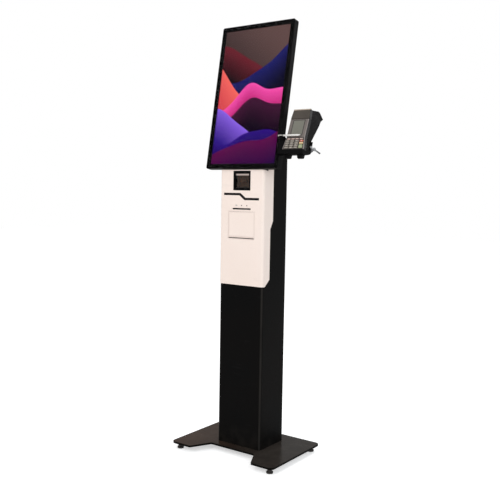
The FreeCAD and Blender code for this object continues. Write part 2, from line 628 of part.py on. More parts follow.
def make_scanner():
    """Bezel with a clamping flange behind the cover, the glass on its ledge, and the reader."""
    made = body("scanner_bezel")
    half, rise = "window_width / 2 - 0.3", "window_height / 2 - 0.3"
    pad(made, upright(made, f"1 - {COVER_FACE}", half, "window_z", rise), "16", back=True)
    w, h = size("window_width") / 2 - 0.3, size("window_height") / 2 - 0.3
    level = size("window_z")
    names = edges(made, Y, x=(-w, w), z=(level - h, level + h))
    dress(made, "Fillet", names, "1.8")
    pad(made, upright(made, "-column_front", "window_width / 2 + 4", "window_z",
                      "window_height / 2 + 1.6"), "1.6", back=True)
    border = "window_border"
    pocket(made, upright(made, f"2 - {COVER_FACE}", f"{half} - {border} + 1", "window_z",
                         f"{rise} - {border} + 1"), "window_recess + 4")
    pocket(made, upright(made, f"2 - {COVER_FACE}", f"{half} - {border} - 2", "window_z",
                         f"{rise} - {border} - 2"), "30")
    front = size("column_front") - size("cover_thick") - 1
    opening = ring(made, "y", front, lambda m: abs(m.x) < w - 3 and abs(m.z - level) < h - 3)
    dress(made, "Chamfer", opening, "2")
    keep(made)
    glass = body("scanner_window")
    pad(glass, upright(glass, f"-{COVER_FACE} - window_recess", f"{half} - {border} + 0.8",
                       "window_z", f"{rise} - {border} + 0.8"), "2", back=True)
    keep(glass)
    reader = body("scanner_module")
    deep = f"-{COVER_FACE} - 15"
    pad(reader, upright(reader, deep, "30", "window_z", "25"), "38", back=True)
    names = edges(reader, Y, x=(-30, 30), z=(level - 25, level + 25))
    dress(reader, "Fillet", names, "3")
    pocket(reader, upright(reader, deep, "24", "window_z", "19"), "12")
    eye = circle(sketch(reader, "XZ_Plane", f"{deep} - 12"), "0", "window_z", "9")
    lights = sketch(reader, "XZ_Plane", f"{deep} - 12")
    for a in "-+":
        rectangle(lights, f"{a}17 - 4", "window_z - 7", f"{a}17 + 4", "window_z + 7")
    pad(reader, eye, "8")
    pad(reader, lights, "4")
    pocket(reader, circle(sketch(reader, "XZ_Plane", f"{deep} - 4"), "0", "window_z", "6"), "5")
    return keep(reader)


def make_printer():
    """Receipt printer: folded chassis, head, platen, paper roll, hinged door, button and lamps."""
    made = body("printer_frame")
    nose = "hatch_pin_y - 2.5"
    cheek = [("chassis_front + 3", "chassis_foot"), ("chassis_back", "chassis_foot"),
             ("chassis_back", "chassis_head - 40"), ("chassis_back - 40", "chassis_head"),
             ("chassis_front", "chassis_head"), ("chassis_front", "hatch_pin_z + 3"),
             (nose, "hatch_pin_z + 3"), (nose, "hatch_pin_z - 0.5"),
             ("hatch_pin_y - 0.5", "hatch_pin_z - 2.6"), ("chassis_front + 3", "hatch_pin_z - 2.6")]
    pad(made, loop(sketch(made, "YZ_Plane"), cheek), "2 * chassis_half", both=True)
    room = [("hatch_pin_y - 4", "chassis_foot + chassis_wall"),
            ("chassis_back - chassis_wall", "chassis_foot + chassis_wall"),
            ("chassis_back - chassis_wall", "chassis_head + 1"),
            ("chassis_front + 1.2", "chassis_head + 1"), ("chassis_front + 1.2", "platen_z - 1"),
            ("hatch_pin_y - 4", "platen_z - 1")]
    pocket(made, loop(sketch(made, "YZ_Plane"), room), "2 * (chassis_half - chassis_wall)", both=True)
    pocket(made, circle(sketch(made, "YZ_Plane"), "platen_y", "platen_z",
                        "shaft_radius + running_gap"), "2 * chassis_half + 2", both=True)
    pad(made, circle(sketch(made, "YZ_Plane"), "roll_y", "roll_z", "spindle_radius"),
        "2 * chassis_half - 1", both=True)
    pad(made, circle(sketch(made, "YZ_Plane"), "hatch_pin_y", "hatch_pin_z", "hatch_pin_radius"),
        "2 * chassis_half + 12", both=True)
    ears = sketch(made, "XZ_Plane", "-column_front - column_wall")
    rectangle(ears, "0.5 - chassis_half - 28", "chassis_foot + 50", "1 - chassis_half",
              "chassis_foot + 100")
    rectangle(ears, "chassis_half - 1", "chassis_foot + 50", "chassis_half + 27.5",
              "chassis_foot + 100")
    pad(made, ears, "5", back=True)
    keep(made)

    head = body("print_head")
    outline = [("chassis_front + 2", "platen_z - 20"), ("platen_y + 12", "platen_z - 20"),
               ("platen_y + 12", "platen_z - 9"), ("platen_y + 4", "platen_z - 7.5"),
               ("platen_y + 4", "platen_z - platen_radius - 0.3"),
               ("platen_y - 4", "platen_z - platen_radius - 0.3"),
               ("platen_y - 4", "platen_z - 7.5"), ("chassis_front + 2", "platen_z - 11")]
    pad(head, loop(sketch(head, "YZ_Plane"), outline), "2 * (chassis_half - chassis_wall)",
        both=True)
    fin = rectangle(sketch(head, "XZ_Plane", "-platen_y - 12"), "-44", "platen_z - 20", "-42",
                    "platen_z - 9")
    row_of(head, [pad(head, fin, "8", back=True)], "X_Axis", "84", 15)
    keep(head)

    platen = body("platen_roller")
    pad(platen, circle(sketch(platen, "YZ_Plane"), "platen_y", "platen_z", "platen_radius"),
        "2 * chassis_half - 20", both=True)
    pad(platen, circle(sketch(platen, "YZ_Plane"), "platen_y", "platen_z", "shaft_radius"),
        "2 * chassis_half", both=True)
    keep(platen)

    roll = body("paper_roll")
    rings = circle(sketch(roll, "YZ_Plane"), "roll_y", "roll_z", "roll_radius")
    circle(rings, "roll_y", "roll_z", "spindle_radius + running_gap")
    pad(roll, rings, "roll_width", both=True)
    keep(roll)

    door = body("printer_door")
    panel = rectangle(sketch(door, "XZ_Plane", f"-{COVER_FACE}"), "-hatch_width / 2", "hatch_foot",
                      "hatch_width / 2", "hatch_head")
    pad(door, panel, "cover_thick", back=True)
    wide = size("hatch_width") / 2
    names = edges(door, Y, x=(-wide, wide))
    dress(door, "Fillet", names, "1")
    for start in ("chassis_half + 1", "-chassis_half - 5.5"):
        lug = rectangle(sketch(door, "YZ_Plane", start), "column_front - 0.5", "hatch_pin_z - 3",
                        "hatch_pin_y", "hatch_pin_z + 3")
        pad(door, lug, "4.5")
        pad(door, circle(sketch(door, "YZ_Plane", start), "hatch_pin_y", "hatch_pin_z", "3"), "4.5")
    pocket(door, circle(sketch(door, "YZ_Plane"), "hatch_pin_y", "hatch_pin_z",
                        "hatch_pin_radius + running_gap"), "hatch_width", both=True)
    rib = rectangle(sketch(door, "XZ_Plane", "-column_front"), "4 - hatch_width / 2",
                    "hatch_head - 8", "hatch_width / 2 - 4", "hatch_head - 5")
    pad(door, rib, "3", back=True)
    keep(door)

    key = body("feed_button")
    left, low = "-lamp_pitch - button_width / 2", "lamp_z - button_height / 2"
    cap = rectangle(sketch(key, "XZ_Plane", f"0.8 - {COVER_FACE}"), left, low,
                    "button_width / 2 - lamp_pitch", "lamp_z + button_height / 2")
    pad(key, cap, "cover_thick + 1.8", back=True)
    front = size("column_front") - size("cover_thick") - 0.8
    dress(key, "Chamfer", ring(key, "y", front), "0.5")
    brim = rectangle(sketch(key, "XZ_Plane", "-column_front"), f"{left} - 1", f"{low} - 1",
                     "button_width / 2 + 1 - lamp_pitch", "lamp_z + button_height / 2 + 1")
    pad(key, brim, "1", back=True)
    stem = rectangle(sketch(key, "XZ_Plane", "-column_front - 0.5"), "-lamp_pitch - 1.2",
                     "lamp_z - 1.2", "1.2 - lamp_pitch", "lamp_z + 1.2")
    pad(key, stem, "chassis_front - column_front - 1.4", back=True)
    keep(key)

    lenses = []
    for i, x in enumerate(("0", "lamp_pitch")):
        stem = rod(f"lens_stem_{i}", "lamp_radius", "cover_thick + 0.4",
                   (x, f"{COVER_FACE} - 0.4", "lamp_z"), "y")
        brim = block(f"lens_brim_{i}",
                     (f"{x} - lamp_radius - 1", "column_front", "lamp_z - lamp_radius - 1"),
                     (f"{x} + lamp_radius + 1", "column_front + 1", "lamp_z + lamp_radius + 1"))
        lenses.append(joined(f"lens_{i}", [stem, brim]))
    keep(group("indicator_lenses", lenses))


def make_display():
    """Display: front frame, glass, picture panel, vented rear shell, bracket and its screws."""
    half, rise, middle = "display_width / 2", "display_height / 2", "display_height / 2"
    wide, tall = size("display_width") / 2, size("display_height")

    frame = body("display_frame")
    pad(frame, upright(frame, "0", half, middle, rise), "frame_depth", back=True)
    dress(frame, "Fillet", edges(frame, Y, x=(-wide, wide), z=(0, tall)), "display_corner")
    pocket(frame, upright(frame, "1", f"{half} - glass_margin", middle, f"{rise} - glass_margin"),
           "glass_thick + 1.4")
    names = edges(frame, Y, x=(4 - wide, wide - 4), z=(4, tall - 4))
    dress(frame, "Fillet", names, "display_corner - 3")
    pocket(frame, upright(frame, "1", "active_width / 2 + 0.7", middle, "active_height / 2 + 0.9"),
           "frame_depth + 2")
    dress(frame, "Chamfer", ring(frame, "y", 0, lambda m: outer(m, wide, tall, 2.5)), "1.2")
    on_display(frame)

    glass = body("display_glass")
    pad(glass, upright(glass, "-0.4", f"{half} - glass_margin - 0.3", middle,
                       f"{rise} - glass_margin - 0.3"), "glass_thick", back=True)
    names = edges(glass, Y, x=(4.3 - wide, wide - 4.3), z=(4.3, tall - 4.3))
    dress(glass, "Fillet", names, "display_corner - 3")
    on_display(glass)

    panel = body("display_panel")
    pad(panel, upright(panel, "-glass_thick - 0.4", "active_width / 2 + 0.5", middle,
                       "active_height / 2 + 0.7"), "frame_depth - glass_thick - 1", back=True)
    on_display(panel)

    shell = body("display_rear_shell")
    pad(shell, upright(shell, "-frame_depth", half, middle, rise), "rim_depth - frame_depth",
        back=True)
    dress(shell, "Fillet", edges(shell, Y, x=(-wide, wide), z=(0, tall)), "display_corner")
    housing = rectangle(sketch(shell, "XZ_Plane", "-rim_depth"), "-housing_half", "housing_foot",
                        "housing_half", "housing_head")
    pad(shell, housing, "housing_depth - rim_depth", back=True)
    rim = ring(shell, "y", size("rim_depth"), lambda m: outer(m, wide, tall, 4))
    dress(shell, "Chamfer", rim, "5")
    dress(shell, "Chamfer", ring(shell, "y", size("housing_depth")), "5")
    pocket(shell, upright(shell, "1 - frame_depth", f"{half} - 6.5", middle, f"{rise} - 6.5"),
           "rim_depth - frame_depth - 2")
    hollow = rectangle(sketch(shell, "XZ_Plane", "1 - frame_depth"), "8 - housing_half",
                       "housing_foot + 8", "housing_half - 8", "housing_head - 8")
    pocket(shell, hollow, "housing_depth - frame_depth - 2")
    slot = rectangle(sketch(shell, "XZ_Plane", "-rim_depth - 1"), "-70", "housing_head + 40",
                     "70", "housing_head + 43")
    cut = pocket(shell, slot, "6", back=True)
    row_of(shell, [cut], "Z_Axis", "80", 11)
    threads = sketch(shell, "XZ_Plane", "-housing_depth - 1")
    for a in "-+":
        for b in "-+":
            fastener_hole(threads, f"{a}vesa_half", f"vesa_centre {b} vesa_half", "screw_radius")
    pocket(shell, threads, "8", back=True)
    on_display(shell)

    bracket = body("display_bracket")
    outline = [("-bracket_half", "8"), ("bracket_half", "8"), ("bracket_half", "118"),
               ("72", "146"), ("72", "vesa_centre + 62"), ("-72", "vesa_centre + 62"),
               ("-72", "146"), ("-bracket_half", "118")]
    pad(bracket, loop(sketch(bracket, "XZ_Plane", "-housing_depth"), outline), "bracket_thick",
        back=True)
    for side in ("-bracket_half", "bracket_half - 2"):
        flange = rectangle(sketch(bracket, "XZ_Plane", "-housing_depth - bracket_thick"), side, "12",
                           f"{side} + 2", "117")
        pad(bracket, flange, "31", back=True)
    holes = sketch(bracket, "XZ_Plane", "1 - housing_depth")
    for a in "-+":
        for b in "-+":
            fastener_hole(holes, f"{a}vesa_half", f"vesa_centre {b} vesa_half", "screw_radius")
    rectangle(holes, "-26", "180", "26", "216")
    rectangle(holes, "-26", "60", "26", "112")
    pocket(bracket, holes, "bracket_thick + 2")
    sides = sketch(bracket, "YZ_Plane")
    for z in ("flange_screw_low", "flange_screw_high"):
        fastener_hole(sides, "flange_screw_y", z, "screw_radius")
    pocket(bracket, sides, "2 * bracket_half + 2", both=True)
    on_display(bracket)


def outer(middle, wide, tall, band):
    """Whether an edge's middle lies by the outer rim of an upright rectangle."""
    return abs(middle.x) > wide - band or middle.z < band or middle.z > tall - band


def make_screw(number, angle, turn_axis, x, y, z):
    """One screw with a hexagonal head and, to keep its faces few, a hexagonal shank along the turn."""
    head = doc.addObject("Part::Prism", f"screw_head_{number}")
    head.Polygon = 6
    head.setExpression("Circumradius", bound("screw_radius + 2"))
    head.setExpression("Height", bound("screw_head"))
    seat(head, z="-screw_head")
    shank = doc.addObject("Part::Prism", f"screw_shank_{number}")
    shank.Polygon = 6
    shank.setExpression("Circumradius", bound("screw_radius"))
    shank.setExpression("Height", bound("screw_length"))
    made = joined(f"screw_{number}", [head, shank])
    made.Placement = FreeCAD.Placement(Vector(), FreeCAD.Rotation(turn_axis, 45))
    made.setExpression("Placement.Rotation.Angle", bound(angle))
    return seat(made, x, y, z)


def make_bracket_screws():
    """Like screws for the display's back, the bracket's flanges and the arm's foot."""
    made = []
    for a in "-+":
        for b in "-+":
            y, z = display_point("housing_depth + bracket_thick", f"vesa_centre {b} vesa_half")
            made.append(make_screw(len(made), "90 - display_tilt", X, f"{a}vesa_half", y, z))
    for side, angle in (("-column_width / 2", "90"), ("column_width / 2", "-90")):
        for height in ("flange_screw_low", "flange_screw_high"):
            y, z = display_point("flange_screw_y", height)
            made.append(make_screw(len(made), angle, Y, side, y, z))
    for b in "-+":
        made.append(make_screw(len(made), "-90", Y, "column_width / 2 + 4", "arm_screw_y",
                               f"{AXIS_Z} {b} 8"))
    return keep(group("bracket_screws", made))


def make_arm():
    """Round tube with a foot plate on the column's right wall."""
    made = body("terminal_arm")
    foot = rectangle(sketch(made, "YZ_Plane", "column_width / 2"), f"{AXIS_Y} - arm_radius - 1.5",
                     f"{AXIS_Z} - foot_plate", "44", f"{AXIS_Z} + foot_plate")
    pad(made, foot, "4")
    names = edges(made, X)
    dress(made, "Fillet", names, "8")
    tube = circle(sketch(made, "YZ_Plane", "column_width / 2"), AXIS_Y, AXIS_Z, "arm_radius")
    pad(made, tube, "terminal_x + arm_end - column_width / 2")
    bore = circle(sketch(made, "YZ_Plane", "terminal_x + arm_end + 1"), AXIS_Y, AXIS_Z,
                  "arm_radius - 2.5")
    pocket(made, bore)
    holes = sketch(made, "YZ_Plane", "column_width / 2 + 5")
    for b in "-+":
        fastener_hole(holes, "arm_screw_y", f"{AXIS_Z} {b} 8", "screw_radius")
    pocket(made, holes, "6")
    return keep(made)


def make_cradle():
    """Wedge shoe with a front lip, two bumps and collars on the tube, and a pen wing."""
    made = body("holder_cradle")
    heel_top = "heel + wedge * shoe_top"
    lip = [("0", "0"), ("0", "1.2"), ("-1.8", "0.6"), ("-1.8", "-1.5"), ("0.5", "-14.5"),
           ("8.5", "-17"), ("20", "-16")]
    shoe = lip + [("44", "-3"), ("54", "4"), ("56", "14"), (f"{heel_top} + 3.5", "shoe_top"),
                  (heel_top, "shoe_top"), ("heel", "0")]
    pad(made, loop(sketch(made, "YZ_Plane"), shoe), "2 * shoe_half", both=True)
    bar = lip + [("heel", "-10.6"), ("heel", "0")]
    pad(made, loop(sketch(made, "YZ_Plane", "wing_left"), bar), "-wing_left")
    bump = [("10", "-12"), ("11.5", "-21"), ("14", "-25"), ("18", "-27"), ("25", "-27"),
            ("29", "-25"), ("31.5", "-21"), ("33", "-4")]
    for start in ("bump_middle - 10", "-bump_middle - 10"):
        pad(made, loop(sketch(made, "YZ_Plane", start), bump), "20")
    for start in ("collar_inner", "-collar_inner - collar_wide"):
        collar = circle(sketch(made, "YZ_Plane", start), "tilt_y", "tilt_z", "collar_radius")
        pad(made, collar, "collar_wide")
    wing = [("4", "-10"), ("20", "-8"), ("27", "36"), ("20", "48"), ("-2", "58"),
            ("stylus_y - 2", "stylus_z + 5.5"), ("stylus_y - 2", "stylus_z - 5.5"), ("6", "38")]
    pad(made, loop(sketch(made, "YZ_Plane", "wing_left"), wing), "wing_thick")
    pad(made, circle(sketch(made, "YZ_Plane", "wing_left"), "stylus_y", "stylus_z",
                     "stylus_radius + 3"), "wing_thick")
    pocket(made, circle(sketch(made, "YZ_Plane"), "tilt_y", "tilt_z", "arm_radius + 0.08"),
           "200", both=True)
    pocket(made, circle(sketch(made, "YZ_Plane"), "stylus_y", "stylus_z",
                        "stylus_radius + 0.08"), "200", both=True)
    mouth = [("stylus_y", "stylus_z - 2"), ("stylus_y", "stylus_z + 2"),
             ("stylus_y - 12", "stylus_z + 3"), ("stylus_y - 12", "stylus_z - 3")]
    pocket(made, loop(sketch(made, "YZ_Plane"), mouth), "200", both=True)
    return on_terminal(made)


def plan(made, at, low, high, shrink="0"):
    """The terminal's outline seen square to its face, between two heights."""
    def half(z):
        if z <= 8:
            return "case_half"
        if z <= 48:
            return f"case_half - (case_half - face_half) * {z - 8} / 40"
        if z <= 130:
            return "face_half"
        return f"face_half - (face_half - head_half) * {min(z, 158) - 130} / 28"
    levels = [low] + [z for z in (8, 48, 130, 158) if low < z < high] + [high]
    right = [(f"{half(z)} - {shrink}", str(z)) for z in levels]
    left = [(f"-({half(z)} - {shrink})", str(z)) for z in reversed(levels)]
    return loop(sketch(made, "XZ_Plane", at), right + left)


def make_terminal():
    """Payment terminal: base case with a roll bay, top case with key wells, lens, lid and roll."""
    base = body("terminal_base_case")
    pad(base, plan(base, "-top_case_depth", 0, 181), "80", back=True)
    below = [("heel - wedge * 2", "-2"), ("120", "-2"), ("120", "166"), ("98", "166"),
             ("heel + wedge * 150", "150")]
    pocket(base, loop(sketch(base, "YZ_Plane"), below), "120", both=True)
    crown = [("top_case_depth - 1", "162.7"), ("56", "178.5"), ("66", "179"), ("100", "165"),
             ("110", "165"), ("110", "190"), ("top_case_depth - 1", "190")]
    pocket(base, loop(sketch(base, "YZ_Plane"), crown), "120", both=True)
    pocket(base, circle(sketch(base, "YZ_Plane"), "slip_y", "slip_z", "slip_roll + 0.3"),
           "slip_width + 1", both=True)
    bay = rectangle(sketch(base, "YZ_Plane"), "top_case_depth - 1", "slip_z - slip_roll - 0.3",
                    "slip_y", "slip_z + slip_roll + 0.3")
    pocket(base, bay, "slip_width + 1", both=True)
    hollow = rectangle(sketch(base, "YZ_Plane"), "top_case_depth - 1", "3", "heel - 3", "114")
    pocket(base, hollow, "70", both=True)
    ear = rectangle(sketch(base, "YZ_Plane"), "top_case_depth", "158", "top_case_depth + 8",
                    "lid_pin_z + 3")
    pad(base, ear, "40", both=True)
    pad(base, circle(sketch(base, "YZ_Plane"), "lid_pin_y", "lid_pin_z", "3"), "40", both=True)
    notch = rectangle(sketch(base, "YZ_Plane"), "lid_pin_y - 6", "lid_pin_z - 5.5",
                      "lid_pin_y + 5", "lid_pin_z + 5")
    pocket(base, notch, "26.6", both=True)
    clear = rectangle(sketch(base, "YZ_Plane"), "lid_pin_y - 6", "158", "top_case_depth",
                      "lid_pin_z - 3")
    pocket(base, clear, "60", both=True)
    pad(base, circle(sketch(base, "YZ_Plane"), "lid_pin_y", "lid_pin_z", "lid_pin_radius"), "30",
        both=True)
    on_terminal(base)

    top = body("terminal_top_case")
    pad(top, plan(top, "0", 0, 122), "top_case_depth", back=True)
    dress(top, "Chamfer", ring(top, "y", 0), "1.5")
    pocket(top, plan(top, "-key_well", 3, 114, "3"), "30")
    recess = rectangle(sketch(top, "XZ_Plane", "1"), "-lens_half - 0.2", "lens_foot - 0.2",
                       "lens_half + 0.2", "lens_head + 0.2")
    pocket(top, recess, "lens_depth + 1.2")
    for x, z, w, h in KEYS.values():
        wells = upright_at(top, "1", x, z, w, h, "key_gap")
        pocket(top, wells, "3")
        pocket(top, upright_at(top, "-2", x, z, w, h, "key_brim + 0.25"), "key_well")
    on_terminal(top)

    lens = body("terminal_lens")
    glass = rectangle(sketch(lens, "XZ_Plane", "-0.2"), "-lens_half", "lens_foot", "lens_half",
                      "lens_head")
    pad(lens, glass, "lens_depth", back=True)
    on_terminal(lens)

    board = body("terminal_board")
    pad(board, plan(board, "-key_well", 4, 113, "4"), "1.6", back=True)
    on_terminal(board)

    lid = body("terminal_lid")
    pad(lid, plan(lid, "0", 122.8, 162.6), "top_case_depth - 0.3", back=True)
    dress(lid, "Chamfer", ring(lid, "y", 0), "1.5")
    room = rectangle(sketch(lid, "XZ_Plane", "-2.5"), "-slip_width / 2 - 2", "125.5",
                     "slip_width / 2 + 2", "160")
    pocket(lid, room, "30")
    arm = rectangle(sketch(lid, "YZ_Plane"), "top_case_depth - 4", "159", "top_case_depth - 0.3",
                    "lid_pin_z")
    pad(lid, arm, "25.6", both=True)
    pad(lid, circle(sketch(lid, "YZ_Plane"), "lid_pin_y", "lid_pin_z", "3"), "25.6", both=True)
    pocket(lid, circle(sketch(lid, "YZ_Plane"), "lid_pin_y", "lid_pin_z",
                       "lid_pin_radius + running_gap"), "40", both=True)
    on_terminal(lid)

    slip = body("terminal_roll")
    rings = circle(sketch(slip, "YZ_Plane"), "slip_y", "slip_z", "slip_roll")
    circle(rings, "slip_y", "slip_z", "6")
    pad(slip, rings, "slip_width", both=True)
    on_terminal(slip)


def upright_at(made, at, x, z, w, h, grow):
    """A rectangle on the terminal's face round a key's middle, grown on every side."""
    return rectangle(sketch(made, "XZ_Plane", at), f"{x} - ({w}) / 2 - ({grow})",
                     f"{z} - ({h}) / 2 - ({grow})", f"{x} + ({w}) / 2 + ({grow})",
                     f"{z} + ({h}) / 2 + ({grow})")


def key_places():
    """Middle and size of every terminal key, by node name."""
    places = {}
    for i, x in enumerate(("-1.5", "-0.5", "0.5", "1.5"), start=1):
        places[f"key_function_{i}"] = (f"{x} * soft_pitch", "soft_row", "soft_width", "soft_height")
    names = ("star", "0", "hash", "7", "8", "9", "4", "5", "6", "1", "2", "3")
    for i, name in enumerate(names):
        x, z = f"({i % 3} - 1.5) * key_pitch_x", f"key_row + {i // 3} * key_pitch_z"
        places[f"key_{name}"] = (x, z, "key_width", "key_height")
    right = "1.5 * key_pitch_x"
    places["key_cancel"] = (right, "key_row + 3 * key_pitch_z", "key_width", "key_height")
    places["key_clear"] = (right, "key_row + 2 * key_pitch_z", "key_width", "key_height")
    places["key_enter"] = (right, "key_row + 0.5 * key_pitch_z", "key_width",
                           "key_height + key_pitch_z")
    return places


KEYS = key_places()


def make_keys():
    """Keys with a bevelled cap and a brim that stops under the case's face."""
    for label, (x, z, w, h) in KEYS.items():
        made = body(label)
        pad(made, upright_at(made, "key_proud", x, z, w, h, "0"), "key_proud + 3", back=True)
        dress(made, "Chamfer", edges(made, Y), "0.9")
        dress(made, "Chamfer", ring(made, "y", -size("key_proud")), "0.5")
        pad(made, upright_at(made, "-2", x, z, w, h, "key_brim"), "key_depth - 2", back=True)
        on_terminal(made)


def make_lever():
    """Clamp lever in the tube's end: hub with a spigot in the bore, and a cross rod."""
    end = "terminal_x + arm_end"
    hub = rod("lever_hub", "lever_boss", "15", (end, AXIS_Y, AXIS_Z), "x")
    spigot = rod("lever_spigot", "arm_radius - 2.58", "12", (f"{end} - 12", AXIS_Y, AXIS_Z), "x")
    shaft = doc.addObject("Part::Cylinder", "lever_shaft")
    shaft.setExpression("Radius", bound("lever_radius"))
    shaft.setExpression("Height", bound("lever_front + lever_reach"))
    shaft.Placement = FreeCAD.Placement(Vector(), FreeCAD.Rotation(X, -100))
    shaft.setExpression("Placement.Rotation.Angle", bound("-90 - lever_droop"))
    seat(shaft, f"{end} + 10.5", f"{AXIS_Y} - lever_front * cos(lever_droop)",
         f"{AXIS_Z} + lever_front * sin(lever_droop)")
    return keep(joined("clamp_lever", [hub, spigot, shaft]))


def make_stylus():
    """A pen turned about its own length, tapered at the right end."""
    made = body("stylus")
    r, long = "stylus_radius", "stylus_length"
    profile = [("0", "0"), ("0", r), (f"{long} - 16", r), (long, "0.8"), (long, "0")]
    turned(made, loop(sketch(made, "XZ_Plane"), profile), "H_Axis")
    y, z = terminal_point("stylus_y", "stylus_z")
    return keep(seat(made, "terminal_x + stylus_left", y, z))


def main():
    os.makedirs("parts", exist_ok=True)
    make_base_plate()
    for label, across, along in (("foot_front_left", "-foot_across", "-foot_along"),
                                 ("foot_front_right", "foot_across", "-foot_along"),
                                 ("foot_back_left", "-foot_across", "foot_along"),
                                 ("foot_back_right", "foot_across", "foot_along")):
        make_foot(label, across, along)
    make_base_bolts()
    make_column()
    make_column_cap()
    make_rear_door()
    make_door_lock()
    make_power_inlet()
    make_boxes()
    make_front_cover()
    make_accent_stripe()
    make_scanner()
    make_printer()
    make_display()
    make_bracket_screws()
    make_arm()
    make_cradle()
    make_terminal()
    make_keys()
    make_lever()
    make_stylus()
    doc.recompute()
    for item in doc.Objects:
        bad = [s for s in item.State if s in ("Invalid", "Error")]
        if bad:
            print(f"{item.Name}: {bad}")
    for piece in PIECES:
        shape = piece.Shape
        if shape.isNull() or not shape.isValid():
            raise ValueError(f"{piece.Label} has no valid shape")
        shape.exportStep(f"parts/{piece.Label}.step")
        b = shape.BoundBox
        print(f"{piece.Label}: {len(shape.Solids)} solids, {b.XMin:.1f}..{b.XMax:.1f}, "
              f"{b.YMin:.1f}..{b.YMax:.1f}, {b.ZMin:.1f}..{b.ZMax:.1f}")


main()
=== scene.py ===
"""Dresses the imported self-service kiosk: powder coat, plastics, key caps, pen, lever and stage.

Lengths are metres in the row frame: +Z up, the front faces -Y, and the origin is on the floor under
the middle of the base plate.
"""

import json
import math

import bmesh
import bpy
import numpy as np
from bpy.props import FloatProperty, FloatVectorProperty, IntProperty, PointerProperty
from mathutils import Matrix, Vector


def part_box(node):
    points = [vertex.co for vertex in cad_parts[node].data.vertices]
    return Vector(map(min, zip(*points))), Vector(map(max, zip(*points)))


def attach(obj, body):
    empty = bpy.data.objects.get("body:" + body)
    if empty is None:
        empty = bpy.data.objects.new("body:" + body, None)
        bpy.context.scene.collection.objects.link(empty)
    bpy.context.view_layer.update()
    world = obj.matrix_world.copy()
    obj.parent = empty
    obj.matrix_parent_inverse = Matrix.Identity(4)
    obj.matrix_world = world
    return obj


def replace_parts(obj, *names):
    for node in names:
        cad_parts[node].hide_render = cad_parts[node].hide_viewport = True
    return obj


bl_info = {
    "name": "Self-service kiosk",
    "version": (1, 0, 0),
    "blender": (4, 5, 0),
    "location": "3D View > Sidebar > Kiosk",
    "description": "Finishes, key caps, pen, lever and stage for the packed self-service kiosk",
    "category": "Object",
}

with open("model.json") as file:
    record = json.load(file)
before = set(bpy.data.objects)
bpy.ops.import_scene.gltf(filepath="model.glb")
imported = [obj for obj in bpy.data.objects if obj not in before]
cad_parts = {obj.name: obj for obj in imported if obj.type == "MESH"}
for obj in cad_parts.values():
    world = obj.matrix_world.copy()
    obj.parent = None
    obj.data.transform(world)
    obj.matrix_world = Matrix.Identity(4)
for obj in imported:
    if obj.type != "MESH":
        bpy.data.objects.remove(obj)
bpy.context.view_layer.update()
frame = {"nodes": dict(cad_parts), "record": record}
NODES = frame["nodes"]
BODY_OF = {node: body for body, nodes in frame["record"]["behaviour"]["bodies"].items()
           for node in nodes}


def leaning(foot, degrees):
    """The frame of a face that starts at foot and leans back: X across, Z up along the face."""
    return Matrix.Translation(foot) @ Matrix.Rotation(math.radians(-degrees), 4, "X")


def paint(red, green, blue):
    """A screen colour from 0 to 255 as the linear colour that a shader works in."""
    screen = np.array([red, green, blue]) / 255
    return tuple(np.where(screen <= 0.04045, screen / 12.92, ((screen + 0.055) / 1.055) ** 2.4))


def times(shade, factor):
    """A colour made darker or lighter by a factor."""
    return tuple(factor * c for c in shade)


DISPLAY = leaning((0, -0.0639, 1.1187), 10.2)
TERMINAL = leaning((0.2365, -0.068, 1.186), 21.8)
FACE_TURN = (0.0009, 0.0022)  # depths between which the terminal's face turns into its sides
DUST = paint(150, 140, 128)
GREY = (0.5, 0.5, 0.5, 1)

# Settings that a user would change


def colour(name, description, *shade):
    """A colour setting with its default given as a screen colour."""
    return FloatVectorProperty(name=name, description=description, default=paint(*shade), size=3,
                               subtype="COLOR", min=0, max=1)


def length(name, description, default):
    """A length setting in metres."""
    return FloatProperty(name=name, description=description, default=default, min=0,
                         unit="LENGTH", subtype="DISTANCE", precision=5)


class KioskColours(bpy.types.PropertyGroup):
    """Colours of the kiosk's finishes."""

    coat: colour("Black coat", "Powder coat of the column", 13, 13, 13)
    coat_cast: colour("Coat cast", "Warmer tone that drifts through the black coat", 17, 15, 14)
    # painted reflection: the base plate turns from the warm brown below on its left to the greyer
    # tone after it on its right
    plate: colour("Plate coat", "Coat of the base plate's left side", 55, 39, 29)
    plate_cast: colour("Plate cast", "Greyer tone towards the base plate's right side", 46, 42, 39)
    # painted shade: the dark colour of the base plate's faces that don't face up
    plate_edge: colour("Plate edge", "Cut edge of the base plate", 14, 13, 12)
    cover: colour("Cover", "Warm white paint of the front cover", 249, 233, 223)
    trim: colour("Trim", "Black moulded trim round the display and scanner", 7, 7, 8)
    case: colour("Terminal case", "Grey taupe face of the terminal", 112, 104, 99)
    rim: colour("Terminal rim", "Pale edges down both sides of the terminal's face", 142, 133, 130)
    field: colour("Key field", "Darker ground round the terminal's keys", 66, 61, 57)
    lower: colour("Lower case", "Near black lower case of the terminal", 12, 11, 11)
    lid: colour("Roll lid", "Dark taupe lid over the terminal's paper", 74, 67, 60)
    lens: colour("Terminal lens", "Grey green window of the terminal", 116, 115, 104)
    keys: colour("Number keys", "Grey caps of the number keys", 148, 139, 128)
    soft_keys: colour("Function keys", "Pale pinkish caps under the lens", 192, 168, 158)
    lever: colour("Clamp lever", "Grey coat of the clamp lever's front half", 158, 158, 160)
    lever_end: colour("Lever end", "Darker grey of the clamp lever's rear half", 66, 66, 68)
    # painted highlight: the paler coat on the column's two front bends
    rubbed: colour("Rubbed coat", "Column's coat where the front bends are rubbed", 40, 38, 36)
    pen: colour("Pen", "White barrel of the pen", 236, 234, 230)


